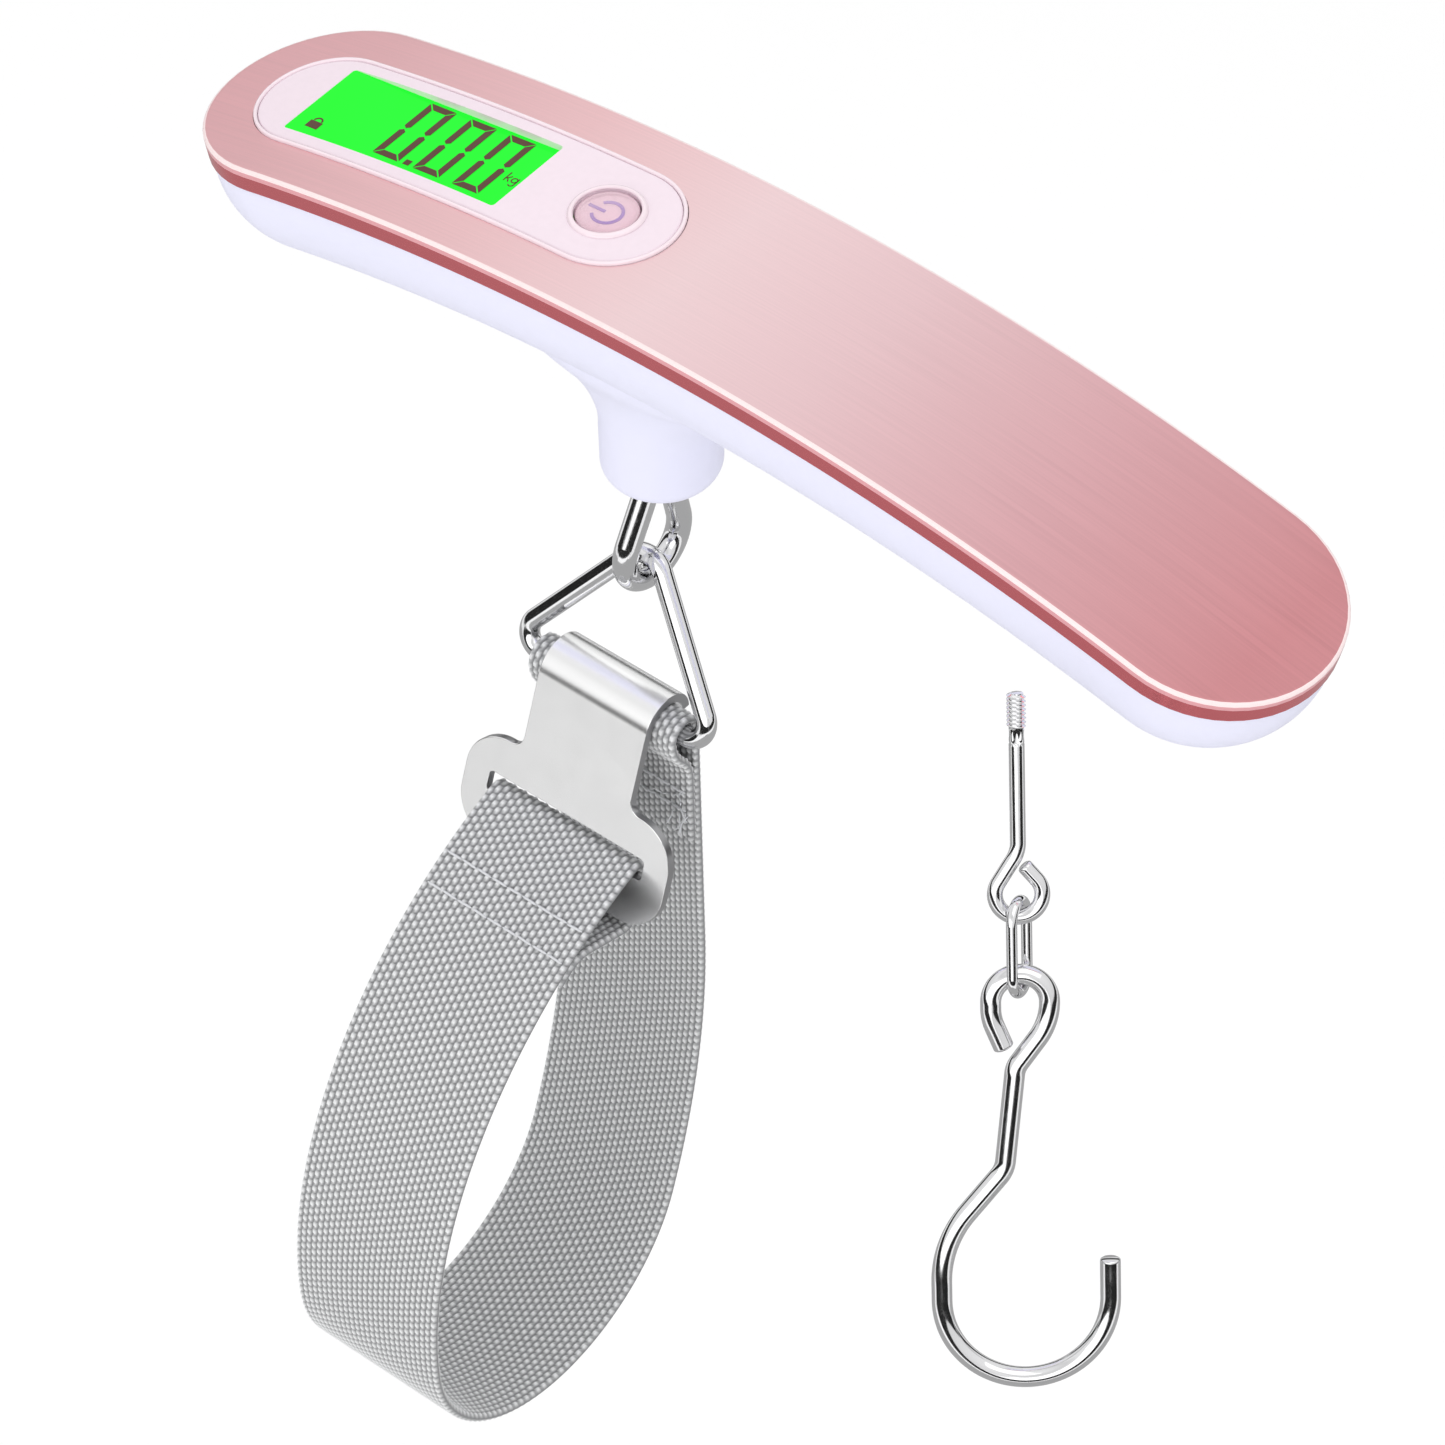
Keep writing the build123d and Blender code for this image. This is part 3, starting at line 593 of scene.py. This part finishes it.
def face_cover():
    """Brushed face with a polished rim, and a painted highlight between them: a near-white line on the
    rounding over a paler band at the top of the rim.
    """
    # each row is an inset from the outline, a height over the face, and a material
    rows = [(0.75, -3.3, "rim"), (0.7, -RIM_DEPTH, "rim"), (0.12, -RIM_DEPTH, "rim")]
    # the paler band at the top of the rim is a painted highlight
    rows += [(0.0, -3.28, "rim"), (0.0, -2.2, "rim"), (0.0, -1.15, "rim"), (0.0, -0.8, "rim_pale")]
    for step in range(7):
        # painted highlight: the rounding gets the near-white edge material
        angle = math.radians(15 * step)
        inset = RIM_ROUND * (1 - math.cos(angle))
        rows.append((inset, RIM_ROUND * (math.sin(angle) - 1), "edge" if angle else "rim_pale"))
    rows += [(inset, 0.0, "rose_metal") for inset in (0.8, 2.0, 4.0, 7.0, 10.0, 13.0)]
    seam = len(rows)
    rows += [(HALF_WIDTH, 0.0, "rose_metal"), (HALF_WIDTH, -SHEET, "rim")]
    rows += [(inset, -SHEET, "rim") for inset in (11.0, 6.0, SHEET + 0.15)]
    rows += [(SHEET, -SHEET - 0.15, "rim"), (SHEET, -2.0, "rim")]
    rings = [slot_ring(0, STRAIGHT, HALF_WIDTH - inset, z) for inset, z, _ in rows]
    verts, faces = loft(rings, closed=True, open_after=seam)
    kinds = ["rose_metal", "rim", "rim_pale", "edge"]
    marks = []
    for row in range(len(rows)):
        if row != seam:
            marks += [kinds.index(rows[(row + 1) % len(rows)][2])] * len(rings[0])
    cover = make_object("cover_sheet", verts, faces, [M[kind] for kind in kinds], marks)
    clean(cover)
    outline = slot_outline(WINDOW_HALF + BEZEL, WINDOW_R + BEZEL)
    cut(cover, [prism(arch(WINDOW_S), outline, -6, 6)])
    crease(cover, 30.0)
    return attach(cover, "housing", "rose_metal", "face_cover")


def slot_outline(half, radius, steps=28):
    """Slot outline in the plane."""
    points = []
    for side in (1, -1):
        for step in range(steps + 1):
            angle = math.pi * step / steps - math.pi / 2
            x = side * (half - radius + radius * math.cos(angle))
            points.append((x, side * radius * math.sin(angle)))
    return points


def window_bezel():
    """Rounded lip round the window."""
    outer = WINDOW_R + BEZEL - 0.05
    profile = [(0.0, -1.5), (0.0, 0.2), (0.06, 0.36), (0.18, 0.44), (0.32, 0.45)]
    profile += [(0.45, 0.40), (0.55, 0.28), (0.57, 0.1), (0.57, -1.5)]
    straight = WINDOW_HALF - WINDOW_R
    rings = [slot_ring(WINDOW_S, straight, outer - inset, z) for inset, z in profile]
    lip = make_object("window_lip", *loft(rings, closed=True), [M["bezel_plastic"]])
    clean(lip)
    return attach(lip, "housing", "bezel_plastic", "window_bezel")


def display_window():
    """Milky panel with a rounded border, open over the display and the button."""
    straight = WINDOW_HALF - WINDOW_R
    profile = [(0.0, -1.5), (0.0, 0.05), (0.07, 0.17), (0.2, 0.24), (0.4, 0.25)]
    profile += [(2.0, 0.25), (5.0, 0.25), (WINDOW_R, 0.25)]
    seam = len(profile) - 1
    profile += [(WINDOW_R, -1.5), (5.0, -1.5), (2.0, -1.5)]
    rings = [slot_ring(WINDOW_S, straight, WINDOW_R - inset, z) for inset, z in profile]
    solid = loft(rings, closed=True, open_after=seam)
    panel = make_object("window_panel", *solid, [M["window_plastic"]])
    clean(panel)
    opening = rounded_box(LCD_SIZE[0] + 0.1, LCD_SIZE[1] + 0.1, 0.5, LCD_X)
    cut(panel, [prism(arch(WINDOW_S), opening, -8, 8)])
    cut(panel, [prism(arch(BUTTON_S), circle(BUTTON_R + 0.15), -8, 8)])
    soften(panel, 0.14)
    return attach(panel, "housing", "window_plastic", "display_window")


# ================================================================ display


def flat_shape(name, matrix, outlines, bottom, top, material):
    """Thin printed shapes: each outline becomes a low prism."""
    verts, faces = [], []
    for outline in outlines:
        base, count = len(verts), len(outline)
        verts += [matrix @ Vector((x, y, bottom)) for x, y in outline]
        verts += [matrix @ Vector((x, y, top)) for x, y in outline]
        for i in range(count):
            j = (i + 1) % count
            faces.append((base + i, base + j, base + count + j, base + count + i))
        faces.append(tuple(range(base + count, base + 2 * count)))
        faces.append(tuple(range(base, base + count))[::-1])
    piece = make_object(name, verts, faces, [material])
    clean(piece)
    piece.data.polygons.foreach_set("use_smooth", [False] * len(piece.data.polygons))
    return piece


def stroke(points, width):
    """Outline of a pen stroke of even width."""
    left, right = [], []
    for i, (x, y) in enumerate(points):
        x0, y0 = points[max(0, i - 1)]
        x1, y1 = points[min(len(points) - 1, i + 1)]
        length = math.hypot(x1 - x0, y1 - y0)
        nx, ny = -(y1 - y0) / length * width / 2, (x1 - x0) / length * width / 2
        left.append((x + nx, y + ny))
        right.append((x - nx, y - ny))
    return left + right[::-1]


def arc(x, y, radius, start, end, steps=24):
    """Points along an arc, angles in degrees."""
    angles = [math.radians(start + (end - start) * i / steps) for i in range(steps + 1)]
    return [(x + radius * math.cos(a), y + radius * math.sin(a)) for a in angles]


def zero_segments(x0, y0):
    """The six lit segments of a zero, with mitred ends."""
    width, height = DIGIT_SIZE
    t, g = DIGIT_STROKE, DIGIT_GAP
    top = [(g, height), (width - g, height), (width - t - g, height - t), (t + g, height - t)]
    middle = height / 2
    side = [(0, height - g), (t, height - t - g), (t, middle + t / 2)]
    side += [(t / 2, middle + g), (0, middle + t / 2)]
    shapes = [top, [(x, height - y) for x, y in top]]
    for flip_x in (False, True):
        for flip_y in (False, True):
            turned = [(width - x if flip_x else x, height - y if flip_y else y) for x, y in side]
            shapes.append(turned)
    return [[(x0 + x, y0 + y) for x, y in shape] for shape in shapes]


def unit_sign(x, y):
    """Strokes of the letters "kg", with the foot of the k at (x, y)."""
    ring = arc(x + 1.42, y + 0.58, 0.43, 10, 350)
    tail = [(x + 1.88, y + 1.12), (x + 1.88, y - 0.14)] + arc(x + 1.48, y - 0.17, 0.4, 0, -150, 10)
    return [
        stroke([(x, y), (x, y + 1.75)], UNIT_STROKE + 0.01),
        stroke([(x + 0.09, y + 0.48), (x + 0.7, y + 1.15)], UNIT_STROKE),
        stroke([(x + 0.26, y + 0.66), (x + 0.74, y)], UNIT_STROKE),
        stroke(ring, UNIT_STROKE),
        stroke(tail, UNIT_STROKE),
    ]


def padlock(x, y):
    """Body and shackle of a small padlock, with its lower left at (x, y)."""
    width, height = LOCK_BODY
    body = [(x, y), (x + width, y), (x + width, y + height), (x, y + height)]
    shackle = arc(x + width / 2, y + height + 0.1, SHACKLE_R, 180, 0, 12)
    return [body, stroke(shackle, SHACKLE_STROKE)]


def display_segments():
    """Three digits, the decimal point, the unit and a padlock."""
    left, bottom = LCD_X - LCD_SIZE[0] / 2, -LCD_SIZE[1] / 2
    shapes = []
    for x in DIGIT_LEFTS:
        shapes += zero_segments(left + x, bottom + DIGIT_BOTTOM)
    near, far = left + POINT_X - POINT_HALF, left + POINT_X + POINT_HALF
    low, high = bottom + DIGIT_BOTTOM, bottom + DIGIT_BOTTOM + 2 * POINT_HALF
    shapes.append([(near, low), (far, low), (far, high), (near, high)])
    shapes += unit_sign(left + UNIT_AT[0], bottom + UNIT_AT[1])
    shapes += padlock(left + LOCK_AT[0], bottom + LOCK_AT[1])
    base, top = LCD_TOP + INK_HEIGHTS[0], LCD_TOP + INK_HEIGHTS[1]
    marks = flat_shape("display_segments", arch(WINDOW_S), shapes, base, top, M["segment"])
    return attach(marks, "housing", "lcd")


# ================================================================ button


def button_core(seat):
    """Pink core: a flange that is kept under the window, and a cup for the dome."""
    side = BUTTON_R - 0.1
    profile = [(0, -3.05), (1.5, -3.05), (1.5, -2.6), (5.35, -2.6), (5.35, -1.95), (side, -1.9)]
    profile += [(side, 0.0), (BUTTON_R - 0.2, 0.16), (3.7, 0.2), (3.45, 0.02), (3.2, 0.1), (0, 0.1)]
    core = lathe("button_core", seat, profile, M["button_plastic"])
    attach(core, "button", "button_plastic", "power_button")


def button_dome(seat):
    """Clear dome: a cap of a sphere over the core."""
    dome_r = (BUTTON_R**2 + DOME_RISE**2) / (2 * DOME_RISE)
    profile = [(0, 0.3), (BUTTON_R - 0.15, 0.3)]
    for step in range(13):
        angle = math.asin((BUTTON_R - 0.05) / dome_r) * (1 - step / 12)
        height = 0.15 + DOME_RISE - dome_r + dome_r * math.cos(angle)
        profile.append((dome_r * math.sin(angle), height))
    dome = lathe("button_dome", seat, profile, M["clear"])
    attach(dome, "button", "button_plastic")


def button():
    """Clear dome over a pink core with the printed power sign, in a raised collar."""
    seat = arch(BUTTON_S)
    button_core(seat)
    button_dome(seat)
    ring = arc(0, 0, SIGN_R, 180 + SIGN_OPENING / 2, 540 - SIGN_OPENING / 2, 40)
    sign = [stroke(ring, SIGN_STROKE), stroke([(-0.4, 0), (-3.0, 0)], SIGN_STROKE)]
    printed = flat_shape("power_sign", seat, sign, 0.12, 0.22, M["symbol"])
    attach(printed, "button", "button_plastic")
    rise = [(0.18, 0.2), (0.18, 0.55), (0.3, 0.7), (0.5, 0.74), (0.75, 0.6), (0.95, 0.36), (1.0, 0.2)]
    profile = [(BUTTON_R + out, height) for out, height in rise]
    collar = lathe("button_collar", seat, profile, M["bezel_plastic"])
    attach(collar, "housing", "button_plastic", "button_ring")


# ================================================================ webbing


def walk(start, heading, runs, step):
    """Points along straight runs and tangent arcs, as (y, z, heading in radians)."""
    y, z = start
    points = [(y, z, math.radians(heading))]
    for run in runs:
        if isinstance(run, tuple):
            radius, turn = run
            length = radius * abs(math.radians(turn))
        else:
            length, turn = run, 0.0
        count = max(1, round(length / step))
        for i in range(count):
            # the chord of a short arc points along the heading at its middle
            half = math.radians(heading + turn / count * (i + 0.5))
            chord = length / count
            y += chord * math.cos(half)
            z += chord * math.sin(half)
            points.append((y, z, math.radians(heading + turn / count * (i + 1))))
        heading += turn
    return points, heading


def band_halves():
    """Middle line of the webbing: over the bar and down to the lowest point, then up to the plate."""
    start = (BAR[0] + WRAP_R, BAR[1])
    tail, _ = walk(start, 90.0, BACK_RUNS, ROW_STEP)
    tail = [(y, z, way + math.pi) for y, z, way in reversed(tail)]
    down, heading = walk(start, -90.0, LOOP_BACK_RUNS, ROW_STEP)
    up, _ = walk(down[-1][:2], heading, LOOP_FRONT_RUNS + FOLD_RUNS, ROW_STEP)
    return tail + down[1:], up


def weave(warp, across, travelled):
    """Height of the cloth, from 0 to 1, at a place across one yarn (-1 to 1) and along the band."""
    yarn = math.sqrt(1 - 0.9 * across * across)
    phase = travelled / WEFT_PITCH + 0.5 * (warp % 2) + 0.14 * across
    over = 0.5 + 0.5 * math.cos(2 * math.pi * phase)
    return (yarn - 0.3) / 0.7 * over**0.7


def band(name, line, first):
    """Woven band along a line of points, with relief on both faces."""
    base = WEB_THICK / 2 - WEAVE_HEIGHT * 0.8
    columns = WARPS * POINTS_PER_WARP
    verts, painted_shades, rings = [], [], []
    travelled = first
    for row, (y, z, way) in enumerate(line):
        if row:
            travelled += math.hypot(y - line[row - 1][0], z - line[row - 1][1])
        normal = (-math.sin(way), math.cos(way))
        ring = []
        for face in (1, -1):
            for step in range(columns + 1):
                u = face * WEB_HALF_WIDTH * (2 * step / columns - 1)
                across = 2 * (step % POINTS_PER_WARP) / POINTS_PER_WARP - 1
                shift = 0 if face > 0 else WEFT_PITCH / 2
                height = weave(step // POINTS_PER_WARP, across, travelled + shift)
                edge = max(0.0, (abs(u) - WEB_HALF_WIDTH + 0.5) / 0.5)
                lift = (base + WEAVE_HEIGHT * height) * math.sqrt(max(0.02, 1 - edge * edge))
                ring.append(len(verts))
                verts.append((u, y + face * lift * normal[0], z + face * lift * normal[1]))
                # painted shade: the colour is darker where the weave is low
                painted_shades.append(0.1 + 0.9 * height)
        rings.append(ring)
    faces = []
    for here, there in zip(rings, rings[1:]):
        for i in range(len(here)):
            j = (i + 1) % len(here)
            faces.append((here[i], here[j], there[j], there[i]))
    faces.append(tuple(rings[0])[::-1])
    faces.append(tuple(rings[-1]))
    piece = make_object(name, verts, faces, [M["webbing"]])
    attribute = piece.data.attributes.new("weave", "FLOAT", "POINT")
    attribute.data.foreach_set("value", painted_shades)
    return piece, travelled


def webbing():
    """The band in two lengths, cut where it turns at the bottom of the loop."""
    back_line, front_line = band_halves()
    back, length = band("webbing_back", back_line, 0.0)
    attach(back, "strap", "webbing", "strap_loop", "strap_back_end")
    front, end = band("webbing_front", front_line, length)
    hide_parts("strap_front_end")
    split, _ = walk(front_line[0][:2], -180.0, LOOP_FRONT_RUNS, ROW_STEP)
    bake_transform(front)


def thread(points, radius, steps=6):
    """Thin tube along a few points, tapered at both ends."""
    rings = []
    for i, point in enumerate(points):
        before, after = points[max(0, i - 1)], points[min(len(points) - 1, i + 1)]
        way = (Vector(after) - Vector(before)).normalized()
        side = way.orthogonal().normalized()
        other = way.cross(side)
        size = radius * (0.45 if i in (0, len(points) - 1) else 1.0)
        turns = [2 * math.pi * k / steps for k in range(steps)]
        rings.append([Vector(point) + size * (math.cos(a) * side + math.sin(a) * other) for a in turns])
    verts, faces = loft(rings)
    last = len(verts) - steps
    return verts, faces + [tuple(range(steps))[::-1], tuple(range(last, last + steps))]


def joined(name, shapes, material):
    """One object from several lists of points and faces."""
    verts, faces = [], []
    for points, polygons in shapes:
        faces += [tuple(len(verts) + i for i in polygon) for polygon in polygons]
        verts += points
    return make_object(name, verts, faces, [material])


def stitch_row(place, way, side):
    """Stitches across the band at a place on its middle line, on the side that is named."""
    normal = Vector((0, -math.sin(way), math.cos(way))) * side
    centre = Vector((0, *place))
    stitches = []
    for step in range(STITCHES):
        x = (step - (STITCHES - 1) / 2) * STITCH_PITCH
        slant = random.uniform(-0.12, 0.12)
        points = []
        for k in range(7):
            along = (k / 6 - 0.5) * STITCH_LENGTH
            lift = WEB_THICK / 2 + 0.12 * math.cos(math.pi * (k / 6 - 0.5))
            drift = Vector((0, math.cos(way), math.sin(way))) * slant * (k / 6 - 0.5)
            points.append(centre + Vector((x + along, 0, 0)) + drift + lift * normal)
        stitches.append(thread(points, STITCH_R))
    return stitches


def stitching():
    """Two rows at each end of the band."""
    _, front_line = band_halves()
    split = len(walk(front_line[0][:2], -180.0, LOOP_FRONT_RUNS, ROW_STEP)[0])
    front = []
    for along in FRONT_ROWS:
        y, z, way = front_line[split + round(along / ROW_STEP)]
        front += stitch_row((y, z), way, 1)
    seam = joined("front_seam", front, M["thread"])
    attach(seam, "t_hook", "thread", "front_stitching")
    back = []
    down = math.radians(-90)
    outer = BAR[0] + WRAP_R
    inner = outer - WEB_THICK - 0.05
    for drop in BACK_ROWS:
        back += stitch_row((outer, BAR[1] - drop), down, 1)
        back += stitch_row((inner, BAR[1] - drop), down, -1)
    seam = joined("back_seam", back, M["thread"])
    attach(seam, "strap", "thread", "back_stitching")


def loose_threads():
    """Frayed ends at the edge of the back seam."""
    tufts = []
    depth = BAR[0] + WRAP_R - 2.1
    for _ in range(LOOSE_THREADS):
        point = Vector((random.uniform(8.0, 12.2), depth, BAR[1] - random.uniform(11, 17)))
        way = Vector((random.uniform(-0.2, 1.0), random.uniform(-0.9, -0.2), random.uniform(-0.7, 0.5)))
        points = []
        for _ in range(9):
            points.append(point.copy())
            turn = Vector([random.uniform(-0.35, 0.35) for _ in range(3)])
            way = (way + turn).normalized()
            point += way * 0.4
        tufts.append(thread(points, 0.09))
    attach(joined("loose_threads", tufts, M["thread"]), "strap", "thread")


# ================================================================ spare hook set


def swept_wire(name, line, radius_at, sides=40):
    """Round wire along a line in the set's own plane; the radius follows the place and the angle."""
    seat = Matrix.Translation(SPARE_AT) @ Matrix.Rotation(math.radians(SPARE_TURN), 4, "Z")
    seat = seat @ Matrix.Rotation(math.radians(90 - SPARE_LEAN), 4, "X")
    steps = [0.0] + [math.dist(a[:2], b[:2]) for a, b in zip(line, line[1:])]
    total, travelled, rings = sum(steps), 0.0, []
    for (x, y, way), step in zip(line, steps):
        travelled += step
        side = Vector((-math.sin(way), math.cos(way), 0))
        ring = []
        for k in range(sides):
            angle = 2 * math.pi * k / sides
            offset = math.cos(angle) * side + math.sin(angle) * Vector((0, 0, 1))
            ring.append(seat @ (Vector((x, y, 0)) + radius_at(travelled, total, angle) * offset))
        rings.append(ring)
    verts, faces = loft(rings)
    faces += [tuple(range(sides))[::-1], tuple(range(len(verts) - sides, len(verts)))]
    wire = make_object(name, verts, faces, [M["steel"]])
    clean(wire)
    crease(wire, 50.0)
    return wire


def blunt(radius, from_end):
    """Radius near a wire's cut end, with the corner broken."""
    return radius - 0.25 * max(0.0, 1 - from_end / 0.25) ** 2


def shank_radius(travelled, total, angle):
    """Rod radius: thread, crimped flats, then plain wire with a blunt end."""
    if travelled < THREAD_LENGTH:
        phase = (travelled / THREAD_PITCH + angle / (2 * math.pi)) % 1
        radius = THREAD_R - THREAD_DEPTH * (1 - abs(2 * phase - 1))
        return radius * min(1.0, 0.72 + travelled)
    past = travelled - THREAD_LENGTH
    if past < CRIMP_LENGTH:
        press = math.sin(math.pi * past / CRIMP_LENGTH) ** 0.5
        flat = SHANK_R * (1 - 0.2 * press)
        return min(SHANK_R * (1 + 0.1 * press), flat / max(0.2, abs(math.cos(2 * angle)) + 0.2))
    return blunt(SHANK_R, total - travelled)


def spare_shank():
    """Rod with a rolled thread and crimped flats, bent into an eye."""
    thread_line, _ = walk((0, SHANK_TOP), -90.0, [THREAD_LENGTH], THREAD_PITCH / 10)
    shank_line, _ = walk((0, SHANK_TOP - THREAD_LENGTH), -90.0, SHANK_RUNS, 0.15)
    rod = swept_wire("threaded_rod", thread_line + shank_line[1:], shank_radius)
    attach(rod, "spare_rod", "steel", "spare_shank")


def spare_hook():
    """Open hook bent from one wire, with blunt ends."""

    def radius_at(travelled, total, _):
        return blunt(HOOK_R, min(travelled, total - travelled))

    line, _ = walk(HOOK_POINT, -90.0, HOOK_RUNS, 0.12)
    attach(swept_wire("bent_hook", line, radius_at), "spare_j", "steel", "spare_hook")


# ================================================================ scene


def place_camera():
    """Camera at the photograph's viewing angle, with its roll and framing."""
    turn, height = math.radians(CAMERA_TURN), math.radians(CAMERA_HEIGHT)
    roll = math.radians(CAMERA_ROLL)
    right = Vector((math.cos(turn), math.sin(turn), 0))
    back = Vector(
        (math.sin(turn) * math.cos(height), -math.cos(turn) * math.cos(height), math.sin(height))
    )
    up = back.cross(right)
    tilted_right = math.cos(roll) * right + math.sin(roll) * up
    tilted_up = math.cos(roll) * up - math.sin(roll) * right
    place = CAMERA_SHIFT[0] * tilted_right + CAMERA_SHIFT[1] * tilted_up + CAMERA_DISTANCE * back
    camera = bpy.data.objects.new("camera", bpy.data.cameras.new("camera"))
    bpy.context.scene.collection.objects.link(camera)
    basis = Matrix((tilted_right, tilted_up, back)).transposed().to_4x4()
    camera.matrix_world = Matrix.Translation(place * MM) @ basis
    camera.data.lens = CAMERA_LENS
    camera.data.sensor_width = 36.0
    camera.data.clip_start = 0.01
    bpy.context.scene.camera = camera


def area_light(name, place, target, size, power):
    """Soft white lamp that faces a target and is not seen itself."""
    light = bpy.data.lights.new(name, "AREA")
    light.shape = "RECTANGLE"
    light.size, light.size_y = size
    light.energy = power
    lamp = bpy.data.objects.new(name, light)
    lamp.location = place
    aim = Vector(target) - Vector(place)
    lamp.rotation_euler = aim.to_track_quat("-Z", "Y").to_euler()
    lamp.visible_camera = False
    bpy.context.scene.collection.objects.link(lamp)


def light_studio():
    """White room, a little darker overhead, and three soft lights."""
    world = bpy.data.worlds.new("studio")
    bpy.context.scene.world = world
    world.use_nodes = True
    nodes, links = world.node_tree.nodes, world.node_tree.links
    place = nodes.new("ShaderNodeTexCoord")
    split = nodes.new("ShaderNodeSeparateXYZ")
    ramp = nodes.new("ShaderNodeValToRGB")
    spread = nodes.new("ShaderNodeMapRange")
    spread.inputs["From Min"].default_value = -1.0
    elements = ramp.color_ramp.elements
    for position, value in SKY:
        element = elements.new(position)
        element.color = (value, value, value, 1.0)
    elements.remove(elements[0])
    elements.remove(elements[-1])
    links.new(place.outputs["Generated"], split.inputs["Vector"])
    links.new(split.outputs["Z"], spread.inputs["Value"])
    links.new(spread.outputs["Result"], ramp.inputs["Fac"])
    links.new(ramp.outputs["Color"], nodes["Background"].inputs["Color"])
    nodes["Background"].inputs["Strength"].default_value = 1.0
    area_light("key", (-0.63, 0.73, 1.02), (0, 0, 0), (0.5, 0.9), 0.3)
    area_light("front", (0.3, -1.3, 0.4), (0, 0, -0.1), (1.8, 1.1), 5.0)
    area_light("top", (0.6, 0.2, 1.5), (0, 0, -0.1), (1.4, 1.4), 3.4)


def sheet(half, level):
    """Points and faces of a level square sheet under the object."""
    corners = [(-half, -half, level), (half, -half, level), (half, half, level), (-half, half, level)]
    return [Vector(corner) / MM for corner in corners], [(0, 1, 2, 3)]


def belt(radius, bottom, top, steps=48):
    """Points and faces of an upright band all round the object."""
    rings = [[Vector((x, y, z)) / MM for x, y in circle(radius, steps)] for z in (bottom, top)]
    return loft(rings)


def card(name, shape, value):
    """Even grey card of the studio that only shows in reflections, where it gives metal its edges."""
    grey = shader(name, (0.0, 0.0, 0.0), 1.0, Specular_IOR_Level=0.0)
    bsdf = grey.node_tree.nodes["Principled BSDF"]
    bsdf.inputs["Emission Color"].default_value = (value, value, value, 1.0)
    bsdf.inputs["Emission Strength"].default_value = 1.0
    grey.cycles.emission_sampling = "NONE"
    piece = make_object(name, *shape, [grey])
    piece.visible_camera = piece.visible_diffuse = piece.visible_shadow = False
    piece.visible_transmission = piece.visible_volume_scatter = False


def furnish_studio():
    """White floor, a grey card over it and a dark card round the horizon."""
    level = cad_box[0][2] - FLOOR_DROP
    white = shader("pale_floor", (1.0, 1.0, 1.0), 0.9, Specular_IOR_Level=0.0)
    make_object("floor", *sheet(FLOOR_HALF, level), [white])
    card("low_card", sheet(LOW_CARD_HALF, level + LOW_CARD_LIFT), LOW_CARD_GREY)
    card("horizon_card", belt(BELT_R, *BELT_HEIGHTS), BELT_GREY)


dress_nodes()
face_cover()
window_bezel()
display_window()
display_segments()
button()
webbing()
stitching()
loose_threads()
spare_shank()
spare_hook()
# the T-plate's edges get painted shade
paint_edge_shade(softened("t_hook_plate", 0.22), M["plate_edge"], 8.0)
for node, width in (
    ("battery_door", 0.2),
    ("case_screws", 0.12),
    ("stem_bush", 0.15),
    ("eye_nut", 0.2),
):
    softened(node, width)
place_camera()
light_studio()
furnish_studio()
bpy.context.scene.view_settings.view_transform = "Standard"
